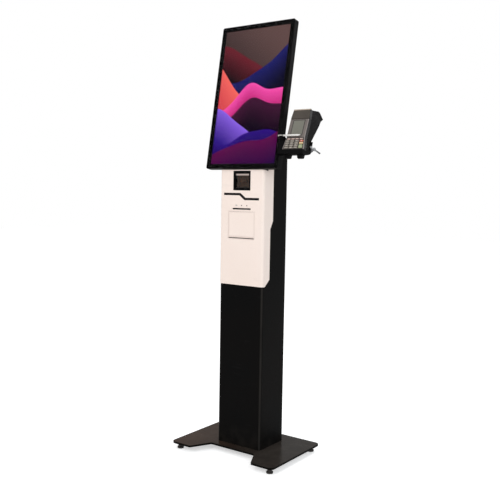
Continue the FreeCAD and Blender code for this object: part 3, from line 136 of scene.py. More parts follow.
class KioskSizes(bpy.types.PropertyGroup):
    """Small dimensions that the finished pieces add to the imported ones."""

    edge: length("Edge radius", "Rounding of the moulded housings' edges", 0.0006)
    sheet_edge: length("Sheet edge", "Rounding of the folded sheet's edges", 0.0004)
    dish: length("Key dish", "Depth of the hollow in a key's top", 0.0004)
    crown: length("Key rounding", "Radius at the rim of a key's top", 0.0009)
    mark: length("Key mark", "Height of the signs on the keys", 0.0042)
    around: IntProperty(name="Points around", description="Points round a turned piece",
                        default=48, min=12, max=96)


# Shader building blocks


def connect(tree, made, inputs):
    """Link the sockets among a node's inputs and set the plain values. A colour is opaque."""
    for key, value in inputs.items():
        socket = made.inputs[key]
        if isinstance(value, bpy.types.NodeSocket):
            tree.links.new(value, socket)
        elif socket.type == "RGBA" and len(value) == 3:
            socket.default_value = (*value, 1)
        else:
            socket.default_value = value
    return made


def node(tree, kind, inputs=None, **settings):
    """Add a shader node, set it up, and link or set its inputs."""
    made = tree.nodes.new("ShaderNode" + kind)
    for key, value in settings.items():
        setattr(made, key, value)
    return connect(tree, made, inputs or {})


def maths(tree, operation, first, second=0.0, third=0.0, clamp=False):
    """The result of one Math node."""
    return node(tree, "Math", {0: first, 1: second, 2: third}, operation=operation,
                use_clamp=clamp).outputs[0]


def distance(tree, value, middle=0.0):
    """How far a value is from a middle."""
    return maths(tree, "ABSOLUTE", maths(tree, "SUBTRACT", value, middle) if middle else value)


def blend(tree, share, first, second):
    """Two colours mixed by share."""
    return node(tree, "Mix", {0: share, 6: first, 7: second}, data_type="RGBA").outputs[2]


def shaded(tree, tone, factor):
    """A colour times a number that changes over the surface."""
    return node(tree, "VectorMath", {0: tone, "Scale": factor}, operation="SCALE").outputs[0]


def fade(tree, value, low, high, start=0.0, end=1.0):
    """A smooth step of value from low to high, mapped to start and end."""
    return node(tree, "MapRange", {0: value, 1: low, 2: high, 3: start, 4: end},
                interpolation_type="SMOOTHSTEP").outputs[0]


def mottle(tree, place, scale, detail=2.0, stretch=None):
    """Noise from 0 to 1 with that many spots a metre, drawn out by stretch along the axes."""
    if stretch:
        place = node(tree, "VectorMath", {0: place, 1: stretch}, operation="MULTIPLY").outputs[0]
    return node(tree, "TexNoise", {"Vector": place, "Scale": scale, "Detail": detail}).outputs[0]


def parts_of(tree, vector):
    """The three numbers of a vector."""
    return node(tree, "SeparateXYZ", {0: vector}).outputs[:3]


def facing(tree):
    """The three numbers of the surface's direction."""
    return parts_of(tree, node(tree, "NewGeometry").outputs["Normal"])


def seen(tree):
    """One for rays from the camera, from gloss and through glass, and nought for the rest."""
    path = node(tree, "LightPath").outputs
    ray = maths(tree, "MAXIMUM", path["Is Camera Ray"], path["Is Glossy Ray"])
    return maths(tree, "MAXIMUM", ray, path["Is Transmission Ray"])


def effect(name, inputs, outputs):
    """A new node group with named inputs and outputs: its tree, its input sockets and its end."""
    tree = bpy.data.node_groups.new(name, "ShaderNodeTree")
    for label, kind, default in inputs:
        socket = tree.interface.new_socket(label, in_out="INPUT", socket_type="NodeSocket" + kind)
        if default is not None:
            socket.default_value = default
    for label, kind in outputs:
        tree.interface.new_socket(label, in_out="OUTPUT", socket_type="NodeSocket" + kind)
    start = tree.nodes.new("NodeGroupInput")
    return tree, start.outputs, tree.nodes.new("NodeGroupOutput")


def apply_effect(tree, name, inputs):
    """Place a node group in a material with its own values."""
    return node(tree, "Group", inputs, node_tree=bpy.data.node_groups[name]).outputs


def make_coating_effect():
    """Coating: broad clouds shift colour and gloss, and fine grain is the relief of the skin."""
    tree, put, end = effect("Coating", [
        ("Vector", "Vector", None), ("Colour", "Color", GREY), ("Second", "Color", GREY),
        ("Clouds", "Float", 8.0), ("Grain", "Float", 900.0), ("Roughness", "Float", 0.5),
        ("Spread", "Float", 0.1)],
        [("Colour", "Color"), ("Roughness", "Float"), ("Height", "Float")])
    clouds = mottle(tree, put["Vector"], put["Clouds"], 3.0)
    grain = mottle(tree, put["Vector"], put["Grain"], 1.0)
    base = blend(tree, fade(tree, clouds, 0.32, 0.68), put["Colour"], put["Second"])
    swing = maths(tree, "MULTIPLY_ADD", clouds, 2.0, -1.0)
    connect(tree, end, {
        "Colour": shaded(tree, base, fade(tree, grain, 0.3, 0.7, 0.975, 1.025)),
        "Roughness": maths(tree, "MULTIPLY_ADD", swing, put["Spread"], put["Roughness"]),
        "Height": grain})


def make_handling_effect():
    """Handling: thin scuffs where two drawn-out noises cross, and soft smudges left by hands."""
    tree, put, end = effect("Handling", [
        ("Vector", "Vector", None), ("Scuffs", "Float", 0.3), ("Smudges", "Float", 0.3)],
        [("Scuff", "Float"), ("Smudge", "Float")])
    line = mottle(tree, put["Vector"], 60.0, 2.0, (1.0, 1.0, 0.06))
    cross = mottle(tree, put["Vector"], 90.0, 1.0, (0.1, 1.0, 1.0))
    fine = fade(tree, maths(tree, "MAXIMUM", line, cross), 0.70, 0.76)
    hands = fade(tree, mottle(tree, put["Vector"], 14.0, 4.0), 0.52, 0.75)
    connect(tree, end, {"Scuff": maths(tree, "MULTIPLY", fine, put["Scuffs"]),
                        "Smudge": maths(tree, "MULTIPLY", hands, put["Smudges"])})


def make_dust_effect():
    """Floor dust: a pale film that thins out with height and gathers in clouds."""
    tree, put, end = effect("Floor dust", [
        ("Vector", "Vector", None), ("Reach", "Float", 0.1), ("Amount", "Float", 0.3)],
        [("Dust", "Float")])
    height = parts_of(tree, put["Vector"])[2]
    near = maths(tree, "SUBTRACT", 1.0, maths(tree, "DIVIDE", height, put["Reach"]), clamp=True)
    clouds = fade(tree, mottle(tree, put["Vector"], 22.0, 4.0), 0.3, 0.8)
    connect(tree, end, {"Dust": maths(tree, "MULTIPLY", maths(tree, "MULTIPLY", near, clouds),
                                      put["Amount"])})


def make_brushed_effect():
    """Brushed metal: noise drawn out along X gives fine lines in colour, gloss and relief."""
    tree, put, end = effect("Brushed metal", [
        ("Vector", "Vector", None), ("Colour", "Color", GREY), ("Roughness", "Float", 0.35)],
        [("Colour", "Color"), ("Roughness", "Float"), ("Height", "Float")])
    lines = mottle(tree, put["Vector"], 700.0, 2.0, (0.04, 1.0, 1.0))
    stain = mottle(tree, put["Vector"], 35.0, 3.0)
    shade = maths(tree, "ADD", fade(tree, lines, 0.3, 0.7, 0.84, 1.0),
                  fade(tree, stain, 0.3, 0.7, -0.06, 0.06))
    connect(tree, end, {
        "Colour": shaded(tree, put["Colour"], shade),
        "Roughness": maths(tree, "MULTIPLY_ADD", lines, 0.16, put["Roughness"]), "Height": lines})


def make_wave_effect():
    """Wave: below a swelling crest line the colour falls from the crest's tone to a deep one."""
    tree, put, end = effect("Wave", [
        ("Across", "Float", 0.0), ("Up", "Float", 0.0), ("Behind", "Color", (0, 0, 0, 1)),
        ("Crest", "Color", (1, 1, 1, 1)), ("Deep", "Color", (0, 0, 0, 1)),
        ("Level", "Float", 0.5), ("Slope", "Float", 0.0), ("Swell", "Float", 0.1),
        ("Turns", "Float", 4.0), ("Phase", "Float", 0.0), ("Fall", "Float", 0.3)],
        [("Colour", "Color")])
    swing = maths(tree, "SINE", maths(tree, "MULTIPLY_ADD", put["Across"], put["Turns"],
                                      put["Phase"]))
    ripple = maths(tree, "SINE", maths(tree, "MULTIPLY_ADD", put["Across"],
                                       maths(tree, "MULTIPLY", put["Turns"], 2.3), 1.7))
    swing = maths(tree, "MULTIPLY_ADD", ripple, 0.22, swing)
    crest = maths(tree, "MULTIPLY_ADD", swing, put["Swell"], put["Level"])
    crest = maths(tree, "MULTIPLY_ADD", put["Across"], put["Slope"], crest)
    depth = maths(tree, "SUBTRACT", crest, put["Up"])
    inside = fade(tree, depth, -0.0015, 0.0015)
    fall = maths(tree, "POWER", maths(tree, "DIVIDE", depth, put["Fall"], clamp=True), 0.7)
    body = blend(tree, fall, put["Crest"], put["Deep"])
    connect(tree, end, {"Colour": blend(tree, inside, put["Behind"], body)})


# Finishes


def new_material(name):
    """An empty material, its tree, its object coordinates and its Principled shader."""
    made = bpy.data.materials.new(name)
    made.use_nodes = True
    tree = made.node_tree
    return made, tree, node(tree, "TexCoord").outputs["Object"], tree.nodes["Principled BSDF"]


def relief(tree, shader, height, depth):
    """Feed a height through a Bump node into the shader's normal."""
    bump = node(tree, "Bump", {"Strength": 1.0, "Distance": depth, "Height": height})
    connect(tree, shader, {"Normal": bump.outputs[0]})


def coating(tree, place, first, second, clouds, grain, roughness, spread):
    """The Coating effect with one material's values."""
    return apply_effect(tree, "Coating", {
        "Vector": place, "Colour": first, "Second": second, "Clouds": clouds, "Grain": grain,
        "Roughness": roughness, "Spread": spread})


def handling(tree, place, scuffs, smudges):
    """The Handling effect with one material's values."""
    return apply_effect(tree, "Handling", {"Vector": place, "Scuffs": scuffs, "Smudges": smudges})


def coated(name, first, second, roughness, gloss, grain=900.0, depth=0.00005, clouds=8.0,
           scuffs=0.15, dust=0.0, reach=0.12, coat=0.0):
    """Paint, film or moulded plastic: coating, handling marks and, near the floor, dust."""
    made, tree, place, shader = new_material(name)
    layer = coating(tree, place, first, second, clouds, grain, roughness, spread=0.08)
    marks = handling(tree, place, scuffs, smudges=0.2)
    pale = tuple(0.5 * c + 0.12 for c in first)
    tone = blend(tree, marks["Scuff"], layer["Colour"], pale)
    rough = maths(tree, "MULTIPLY_ADD", marks["Smudge"], -0.25, layer["Roughness"], clamp=True)
    if dust:
        film = apply_effect(tree, "Floor dust", {"Vector": place, "Reach": reach, "Amount": dust})
        tone = blend(tree, film["Dust"], tone, DUST)
        rough = maths(tree, "MULTIPLY_ADD", film["Dust"], 0.4, rough, clamp=True)
    connect(tree, shader, {"Base Color": tone, "Roughness": rough, "Specular IOR Level": gloss,
                           "Coat Weight": coat})
    relief(tree, shader, layer["Height"], depth)
    return made


def metal(name, shade, roughness, depth=0.00002):
    """Bare, plated or anodised metal with brushed lines and scuffs."""
    made, tree, place, shader = new_material(name)
    layer = apply_effect(tree, "Brushed metal", {"Vector": place, "Colour": shade,
                                                 "Roughness": roughness})
    marks = handling(tree, place, scuffs=0.2, smudges=0.3)
    pale = tuple(min(1, c) for c in times(shade, 1.4))
    connect(tree, shader, {
        "Base Color": blend(tree, marks["Scuff"], layer["Colour"], pale), "Metallic": 1.0,
        "Roughness": maths(tree, "MULTIPLY_ADD", marks["Smudge"], 0.15, layer["Roughness"],
                           clamp=True)})
    relief(tree, shader, layer["Height"], depth)
    return made


def glass(name, shade, ior, roughness=0.0, smear=0.004, glow=None):
    """Clear or tinted glass whose gloss is dulled a little by finger smudges. A glow is a faint
    band of painted light between two heights."""
    made, tree, place, shader = new_material(name)
    if glow:
        low, high, tone = glow
        up = parts_of(tree, place)[2]
        band = maths(tree, "MULTIPLY", fade(tree, up, low, low + 0.003),
                     fade(tree, up, high + 0.001, high))
        connect(tree, shader, {"Emission Color": blend(tree, band, (0, 0, 0), tone),
                               "Emission Strength": 1.0})
    marks = handling(tree, place, scuffs=0.1, smudges=0.5)
    connect(tree, shader, {
        "Base Color": blend(tree, marks["Scuff"], shade, times(shade, 0.9)),
        "Roughness": maths(tree, "MULTIPLY_ADD", marks["Smudge"], smear, roughness),
        "Transmission Weight": 1.0, "IOR": ior})
    return made


def in_frame(tree, place, held):
    """The three numbers of a place in a leaning frame."""
    return parts_of(tree, node(tree, "Mapping", {0: place, 1: held.translation,
                                                 2: held.to_euler()},
                               vector_type="TEXTURE").outputs[0])


def on_terminal(tree, place):
    """Sideways, depth and upward place on the terminal's tilted face, in metres."""
    return in_frame(tree, place, TERMINAL)


def moulded_face(name, tones):
    """Upper case: taupe on the face, darker round the keys, pale rims, black down the sides."""
    made, tree, place, shader = new_material(name)
    foot, waist, half_foot, half_waist = 0.008, 0.048, 0.046, 0.0395
    field_top, field_side, soft = 0.0485, 0.0405, 0.001
    rim_inside, rim_outside = 0.0032, 0.0018
    x, deep, up = on_terminal(tree, place)
    side = distance(tree, x)
    half = node(tree, "MapRange", {0: up, 1: foot, 2: waist, 3: half_foot,
                                   4: half_waist}).outputs[0]
    inset = maths(tree, "SUBTRACT", half, side)
    layer = coating(tree, place, tones.case, times(tones.case, 0.86), clouds=18.0, grain=1600.0,
                    roughness=0.45, spread=0.06)
    low = maths(tree, "MULTIPLY", fade(tree, up, field_top + soft, field_top - soft),
                fade(tree, side, field_side + soft, field_side - soft))
    tone = blend(tree, low, layer["Colour"], tones.field)
    tone = blend(tree, fade(tree, inset, rim_inside, rim_outside), tone, tones.rim)
    marks = handling(tree, place, scuffs=0.25, smudges=0.2)
    tone = blend(tree, marks["Scuff"], tone, tones.rim)
    tone = blend(tree, fade(tree, deep, *FACE_TURN), tone, tones.lower)
    connect(tree, shader, {
        "Base Color": tone, "Specular IOR Level": 0.2,
        "Roughness": maths(tree, "MULTIPLY_ADD", marks["Smudge"], -0.2, layer["Roughness"])})
    relief(tree, shader, layer["Height"], 0.00004)
    return made


def printed_lens(name, tones):
    """Lens of the terminal: a printed dark border round a grey green window."""
    made, tree, place, shader = new_material(name)
    half_width, half_height, middle, soft = 0.0225, 0.028, 0.087, 0.0003
    x, _, up = on_terminal(tree, place)
    side, level = distance(tree, x), distance(tree, up, middle)
    border = maths(tree, "MAXIMUM", fade(tree, side, half_width - soft, half_width + soft),
                   fade(tree, level, half_height - soft, half_height + soft))
    layer = coating(tree, place, tones.lens, times(tones.lens, 0.9), clouds=14.0, grain=1600.0,
                    roughness=0.14, spread=0.03)
    connect(tree, shader, {"Base Color": blend(tree, border, layer["Colour"], paint(70, 65, 62)),
                           "Roughness": layer["Roughness"], "Specular IOR Level": 0.4})
    return made


def moulded_lid(name, tones):
    """Roll lid: taupe on its face with a painted highlight along its top edge, and black down its
    sides.
    """
    made, tree, place, shader = new_material(name)
    edge_highlight, crest = (0.1570, 0.1585), (0.1622, 0.1612)
    _, deep, up = on_terminal(tree, place)
    layer = coating(tree, place, tones.lid, times(tones.lid, 0.82), clouds=16.0, grain=1600.0,
                    roughness=0.46, spread=0.06)
    # painted highlight: the top edge of the lid's face is painted much paler than the lid
    tone = blend(tree, fade(tree, up, *edge_highlight), layer["Colour"], times(tones.lid, 7.0))
    flank = maths(tree, "MULTIPLY", fade(tree, deep, *FACE_TURN), fade(tree, up, *crest))
    connect(tree, shader, {"Base Color": blend(tree, flank, tone, tones.lower),
                           "Roughness": layer["Roughness"], "Specular IOR Level": 0.2})
    relief(tree, shader, layer["Height"], 0.00005)
    return made


def plate_coat(name, tones):
    """Base plate's coat: a semi-gloss skin that turns from warm brown to grey across the plate, a
    painted reflection, with painted shade on its cut edge, where the faces don't face up."""
    made, tree, place, shader = new_material(name)
    left, right = -0.20, 0.16
    # painted reflection: the coat turns from warm brown on the left to grey on the right
    shift = fade(tree, parts_of(tree, place)[0], left, right)
    layer = coating(tree, place, blend(tree, shift, tones.plate, tones.plate_cast),
                    blend(tree, shift, times(tones.plate, 0.8), times(tones.plate_cast, 0.85)),
                    clouds=3.0, grain=1300.0, roughness=0.22, spread=0.05)
    film = apply_effect(tree, "Floor dust", {"Vector": place, "Reach": 0.09, "Amount": 0.05})
    marks = handling(tree, place, scuffs=0.15, smudges=0.2)
    tone = blend(tree, film["Dust"], layer["Colour"], DUST)
    tone = blend(tree, marks["Scuff"], tone, paint(96, 90, 84))
    # painted shade: faces that don't face up take the dark edge colour
    flat = fade(tree, facing(tree)[2], 0.35, 0.85)
    connect(tree, shader, {
        "Base Color": blend(tree, flat, tones.plate_edge, tone), "Specular IOR Level": 0.015,
        "Specular Tint": (1.0, 0.86, 0.78),
        "Roughness": maths(tree, "MULTIPLY_ADD", film["Dust"], 0.5, layer["Roughness"],
                           clamp=True)})
    relief(tree, shader, layer["Height"], 0.00003)
    return made


def black_coat(tones):
    """Values of the textured black coat."""
    return {"first": tones.coat, "second": tones.coat_cast, "roughness": 0.46, "gloss": 0.015,
            "grain": 1300.0, "clouds": 2.2, "scuffs": 0.02, "dust": 0.04}


def white_coat(tones):
    """Values of the warm white paint."""
    return {"first": tones.cover, "second": paint(247, 230, 219), "roughness": 0.42, "gloss": 0.3,
            "grain": 1500.0, "depth": 0.00003, "clouds": 5.0, "scuffs": 0.08}


def place_in(made):
    """The tree and the object coordinates of a finished material."""
    tree = made.node_tree
    return tree, next(n for n in tree.nodes if n.type == "TEX_COORD").outputs["Object"]


def marked(made, share, shade):
    """A finished material with one more colour blended over its own."""
    tree, shader = made.node_tree, made.node_tree.nodes["Principled BSDF"]
    tone = shader.inputs["Base Color"].links[0].from_socket
    connect(tree, shader, {"Base Color": blend(tree, share, tone, shade)})
    return made


def column_coat(name, tones):
    """Column's coat: textured black, with a painted highlight, paler in patches, on the round bends
    of its two front corners.
    """
    made = coated(name, **black_coat(tones))
    tree, place = place_in(made)
    x, y, _ = parts_of(tree, place)
    side, front = (0.0945, 0.0975), (-0.0435, -0.0465)
    # painted highlight: the round front bends are painted paler in patches
    bend = maths(tree, "MULTIPLY", fade(tree, distance(tree, x), *side), fade(tree, y, *front))
    patchy = fade(tree, mottle(tree, place, 9.0, 3.0), 0.2, 0.6, 0.6, 1.0)
    return marked(made, maths(tree, "MULTIPLY", bend, patchy), tones.rubbed)


def cover_coat(name, tones):
    """Cover's paint: warm white, with a soft painted shade along the printer door's outline,
    heavier on the left, and a wider band of painted shade along the door's foot."""
    made = coated(name, **white_coat(tones))
    tree, place = place_in(made)
    x, _, z = parts_of(tree, place)
    low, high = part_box("printer_door")
    middle, half = (low + high) / 2, (high - low) / 2
    # painted shade: a soft darker line round the printer door, heavier on its left, and a darker
    # band across its foot
    line, foot_shade_reach, corner = 0.0075, 0.0105, 0.003
    aside = maths(tree, "SUBTRACT", distance(tree, x), half.x)
    level = maths(tree, "SUBTRACT", distance(tree, z, middle.z), half.z)
    off = distance(tree, maths(tree, "MAXIMUM", aside, level))
    foot = maths(tree, "MULTIPLY", fade(tree, distance(tree, z, low.z), foot_shade_reach, 0.0015),
                 fade(tree, aside, corner, -corner))
    share = fade(tree, x, -0.05, 0.05, 0.60, 0.35)
    joint_shade = maths(tree, "MULTIPLY", fade(tree, off, line, 0.0005), share)
    return marked(made, maths(tree, "MAXIMUM", joint_shade, foot), paint(228, 210, 200))


def lever_coat(name, tones):
    """Clamp lever's coat: grey at the front and darker along its rear half."""
    made = coated(name, tones.lever, tones.lever, 0.35, 0.4, coat=0.2, scuffs=0.3)
    tree, place = place_in(made)
    front, back = -0.012, 0.022
    return marked(made, fade(tree, parts_of(tree, place)[1], front, back), tones.lever_end)


def wound_paper(name, roll):
    """Paper roll: rings round the roll's middle mark the windings on its ends."""
    made, tree, place, shader = new_material(name)
    low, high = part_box(roll)
    middle = (low + high) / 2
    layer = coating(tree, place, paint(240, 238, 232), paint(229, 225, 216), clouds=30.0,
                    grain=2400.0, roughness=0.65, spread=0.05)
    _, y, z = parts_of(tree, place)
    squares = (maths(tree, "POWER", distance(tree, value, centre), 2.0)
               for value, centre in ((y, middle.y), (z, middle.z)))
    out = maths(tree, "SQRT", maths(tree, "ADD", *squares))
    ring = maths(tree, "SINE", maths(tree, "MULTIPLY", out, 9000.0))
    connect(tree, shader, {
        "Base Color": shaded(tree, layer["Colour"], fade(tree, ring, -1.0, 1.0, 0.90, 1.0)),
        "Roughness": layer["Roughness"], "Specular IOR Level": 0.25})
    relief(tree, shader, maths(tree, "MULTIPLY_ADD", ring, 0.5, layer["Height"]), 0.00004)
    return made


def lit_picture(name):
    """Picture on the display: silk waves in warm and violet tones, drawn on the tilted panel."""
    made, tree, place, shader = new_material(name)
    lit_width, lit_height, below = 0.299, 0.5315, 0.0372
    x, _, z = in_frame(tree, place, DISPLAY)
    across = maths(tree, "MULTIPLY_ADD", x, 1 / lit_width, 0.5)
    up = maths(tree, "MULTIPLY_ADD", z, 1 / lit_height, -below)
    lift = fade(tree, maths(tree, "MULTIPLY_ADD", across, 0.45, up), 0.55, 1.40)
    picture = blend(tree, lift, paint(22, 18, 22), paint(96, 72, 70))
    labels = ("Level", "Slope", "Swell", "Turns", "Phase", "Fall")
    waves = [
        # crest, deep, then the values of the labels
        ((112, 34, 46), (20, 8, 16), 0.84, -0.20, 0.055, 4.0, 0.9, 0.24),
        ((30, 30, 104), (8, 6, 34), 0.56, 0.26, 0.040, 5.0, 2.2, 0.22),
        ((250, 106, 98), (196, 40, 66), 0.73, -0.36, 0.080, 3.6, 3.5, 0.46),
        ((252, 82, 178), (186, 30, 108), 0.42, 0.18, 0.070, 5.6, 5.2, 0.16),
        ((66, 20, 52), (16, 4, 22), 0.34, 0.12, 0.065, 5.2, 5.0, 0.20),
        ((142, 100, 232), (44, 20, 128), 0.36, -0.22, 0.055, 4.6, 1.0, 0.24),
        ((46, 16, 128), (16, 4, 60), 0.17, 0.06, 0.035, 6.0, 3.8, 0.20),
        ((96, 12, 74), (30, 4, 60), 0.05, 0.20, 0.030, 5.0, 0.4, 0.24),
    ]
    for crest, deep, *values in waves:
        picture = apply_effect(tree, "Wave", {
            "Across": across, "Up": up, "Behind": picture, "Crest": paint(*crest),
            "Deep": paint(*deep), **dict(zip(labels, values))})["Colour"]
    front = fade(tree, facing(tree)[1], -0.3, -0.8)
    connect(tree, shader, {
        "Emission Color": blend(tree, front, (0, 0, 0), picture), "Emission Strength": 1.0,
        "Base Color": (0.001, 0.001, 0.001), "Specular IOR Level": 0.0})
    return made


def make_materials(tones):
    """Every finish by name. A material slot of the record takes the finish of its own name."""
    coats = [
        # name, colour, second colour, roughness, gloss, and what differs from a plain coat
        ("stripe_film", paint(16, 13, 14), paint(22, 18, 18), 0.35, 0.1, {}),
        ("black_plastic", tones.trim, paint(10, 9, 10), 0.42, 0.03,
         {"grain": 1100.0, "depth": 0.00004, "scuffs": 0.03}),
        ("module_plastic", paint(84, 70, 57), paint(70, 58, 48), 0.5, 0.3, {}),
        ("button_plastic", paint(214, 206, 200), paint(204, 196, 190), 0.3, 0.5, {"coat": 0.3}),
        ("lamp_plastic", paint(120, 108, 106), paint(96, 86, 86), 0.2, 0.5, {"coat": 0.5}),
        ("white_plastic", tones.pen, paint(224, 221, 216), 0.25, 0.5, {"coat": 0.4}),
        ("terminal_black", tones.lower, paint(19, 17, 17), 0.5, 0.03,
         {"grain": 1600.0, "scuffs": 0.05}),
        ("board", paint(22, 84, 50), paint(30, 104, 60), 0.35, 0.5,
         {"grain": 700.0, "clouds": 90.0}),
        ("key_dark", tones.keys, paint(134, 126, 116), 0.4, 0.4,
         {"grain": 1800.0, "depth": 0.00002}),
        ("key_light", tones.soft_keys, paint(182, 158, 148), 0.4, 0.4,
         {"grain": 1800.0, "depth": 0.00002}),
        ("key_red", paint(196, 106, 84), paint(184, 96, 76), 0.3, 0.5, {}),
        ("key_yellow", paint(232, 202, 150), paint(222, 190, 140), 0.3, 0.5, {}),
        ("key_green", paint(150, 156, 118), paint(138, 146, 108), 0.3, 0.5, {}),
        ("platen_rubber", paint(38, 38, 38), paint(30, 30, 30), 0.8, 0.2,
         {"grain": 2600.0, "depth": 0.00006}),
        ("foot_steel", paint(30, 28, 28), paint(42, 38, 36), 0.45, 0.3,
         {"dust": 0.3, "reach": 0.03}),
        ("reader_glass", paint(14, 13, 20), paint(24, 20, 28), 0.12, 0.5,
         {"coat": 0.5, "scuffs": 0.0}),
    ]
    own = {"column_coat": column_coat, "cover_coat": cover_coat, "plate_coat": plate_coat,
           "grey_lever": lever_coat, "terminal_taupe": moulded_face,
           "lens_plastic": printed_lens, "lid_plastic": moulded_lid}
    # painted light: a pale strip near the top of the scanner window, drawn as a faint glow
    scanner_glow_band = (1.091, 1.098, paint(133, 127, 126))
    return {
        **{name: coated(name, *values, **extra) for name, *values, extra in coats},
        **{name: make(name, tones) for name, make in own.items()},
        "black_paint": coated("black_paint", **black_coat(tones)),
        "white_paint": coated("white_paint", **white_coat(tones)),
        "zinc_steel": metal("zinc_steel", paint(186, 186, 183), 0.32),
        "cast_alloy": metal("cast_alloy", paint(96, 98, 100), 0.42, depth=0.00004),
        "chrome_plate": metal("chrome_plate", paint(168, 168, 170), 0.2, depth=0.00001),
        "clear_glass": glass("clear_glass", (0.98, 0.98, 0.985), 1.1),
        "tinted_glass": glass("tinted_glass", paint(204, 170, 142), 1.3, roughness=0.22,
                              smear=0.03, glow=scanner_glow_band),
        "receipt_paper": wound_paper("receipt_paper", "paper_roll"),
        "terminal_paper": wound_paper("terminal_paper", "terminal_roll"),
        "picture": lit_picture("picture"),
    }


# Surfaces


def place_points(points, held):
    """Points of a local frame moved into the row frame: rotation times point plus origin."""
    return points @ np.array(held.to_3x3()).T + np.array(held.translation)


def local_box(name, held):
    """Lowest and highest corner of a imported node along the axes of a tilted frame."""
    mesh = NODES[name].data
    points = np.empty(len(mesh.vertices) * 3)
    mesh.vertices.foreach_get("co", points)
    local = place_points(points.reshape(-1, 3), held.inverted())
    return local.min(axis=0), local.max(axis=0)


def closed(grids):
    """Vertices and faces of closed shells: each grid's rows are rings, and the first and last rings
    are closed by fans to their own middles."""
    points, quads, fans, start = [], [], [], 0
    for grid in grids:
        rows, around = grid.shape[:2]
        index = start + np.arange(rows * around).reshape(rows, around)
        after = np.roll(index, -1, axis=1)
        quads.append(np.stack([index[:-1], after[:-1], after[1:], index[1:]], -1).reshape(-1, 4))
        ends = np.stack([grid[0].mean(axis=0), grid[-1].mean(axis=0)])
        low, high = start + rows * around, start + rows * around + 1
        fans.append(np.stack([after[0], index[0], np.full(around, low)], -1))
        fans.append(np.stack([index[-1], after[-1], np.full(around, high)], -1))
        points += [grid.reshape(-1, 3), ends]
        start += rows * around + 2
    return np.vstack(points), [*np.vstack(quads).tolist(), *np.vstack(fans).tolist()]


def in_scene(name, data):
    """A new object with that data, linked to the scene."""
    made = bpy.data.objects.new(name, data)
    bpy.context.scene.collection.objects.link(made)
    return made


def piece(name, points, faces, finish, body, replaced=(), slot=None):
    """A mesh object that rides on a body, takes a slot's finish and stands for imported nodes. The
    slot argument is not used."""
    mesh = bpy.data.meshes.new(name)
    mesh.from_pydata(points.tolist(), [], faces)
    work = bmesh.new()
    work.from_mesh(mesh)
    bmesh.ops.remove_doubles(work, verts=work.verts, dist=1e-7)
    bmesh.ops.recalc_face_normals(work, faces=work.faces)
    work.to_mesh(mesh)
    work.free()
    mesh.polygons.foreach_set("use_smooth", np.ones(len(mesh.polygons), bool))
    mesh.set_sharp_from_angle(angle=math.radians(40))
    made = in_scene(name, mesh)
    mesh.materials.append(bpy.data.materials[finish])
    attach(made, body)
    if replaced:
        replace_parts(made, *replaced)
    return made


def turned(profile, around, held):
    """Surface of revolution: ring k has radius profile[k][0] at height profile[k][1] on the Z axis
    of a frame, and is then moved into the row frame."""
    radius, height = np.array(profile, float).T
    turn = np.linspace(0, 2 * np.pi, around, endpoint=False)
    return place_points(np.stack([radius[:, None] * np.cos(turn), radius[:, None] * np.sin(turn),
                                  np.repeat(height[:, None], around, axis=1)], -1), held)


def along(start, direction):
    """A frame at start whose Z runs along direction."""
    turn = Vector(direction).to_track_quat("Z", "Y")
    return Matrix.Translation(start) @ turn.to_matrix().to_4x4()


def key_cap(half_width, half_height, base, top, dish, crown, around=32):
    """Key cap: rings are superellipses of power 5, x = a |cos t|^(2/5) and z = b |sin t|^(2/5) with
    the signs of cos and sin. The side rises straight, a quarter circle of radius crown turns
    in, and the top sinks as a parabola by dish towards its middle."""
    turn = np.linspace(0, 2 * np.pi, around, endpoint=False)
    ring_x = np.sign(np.cos(turn)) * np.abs(np.cos(turn)) ** 0.4
    ring_z = np.sign(np.sin(turn)) * np.abs(np.sin(turn)) ** 0.4
    bend = np.linspace(0, np.pi / 2, 5)
    inset = np.concatenate([[0], crown * (1 - np.cos(bend))])
    rise = np.concatenate([[base], top - crown + crown * np.sin(bend)])
    share = np.array([0.75, 0.5, 0.25, 0.05])
    a = np.concatenate([half_width - inset, (half_width - crown) * share])
    b = np.concatenate([half_height - inset, (half_height - crown) * share])
    lift = np.concatenate([rise, top - dish * (1 - share ** 2)])
    return np.stack([a[:, None] * ring_x, -np.repeat(lift[:, None], around, axis=1),
                     b[:, None] * ring_z], -1)


def softened(name, width, finish=None):
    """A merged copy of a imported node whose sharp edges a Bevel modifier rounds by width."""
    source = NODES[name]
    slot = source.data.materials[0].name
    mesh = source.data.copy()
    mesh.name = name + "_skin"
    work = bmesh.new()
    work.from_mesh(mesh)
    bmesh.ops.remove_doubles(work, verts=work.verts, dist=2e-6)
    bmesh.ops.dissolve_limit(work, angle_limit=math.radians(0.5), use_dissolve_boundaries=False,
                             verts=work.verts, edges=work.edges)
    work.to_mesh(mesh)
    work.free()
    mesh.polygons.foreach_set("use_smooth", np.ones(len(mesh.polygons), bool))
    made = in_scene(name + "_skin", mesh)
    mesh.materials.clear()
    mesh.materials.append(bpy.data.materials[finish or slot])
    round_off = made.modifiers.new("Rounded edges", "BEVEL")
    round_off.width = width
    round_off.segments = 2
    round_off.limit_method = "ANGLE"
    round_off.angle_limit = math.radians(32)
    round_off.use_clamp_overlap = False
    made.modifiers.new("Even shading", "WEIGHTED_NORMAL").keep_sharp = True
    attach(made, BODY_OF[name])
    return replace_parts(made, name)


# Operators


class KIOSK_OT_finishes(bpy.types.Operator):
    """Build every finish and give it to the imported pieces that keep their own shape"""

    bl_idname = "kiosk.finishes"
    bl_label = "Finishes"

    def execute(self, context):
        for make in (make_coating_effect, make_handling_effect, make_dust_effect,
                     make_brushed_effect, make_wave_effect):
            make()
        packed = {name: item.data.materials[0].name for name, item in NODES.items()}
        for old in list(bpy.data.materials):
            old.name = "packed_" + old.name
        made = make_materials(context.scene.kiosk_colours)
        own = {"terminal_roll": "terminal_paper", "column": "column_coat"}
        for name, slot in packed.items():
            if slot not in made:
                raise RuntimeError(f"no finish for the slot {slot} of {name}")
            NODES[name].material_slots[0].material = made[own.get(name, slot)]
        return {"FINISHED"}


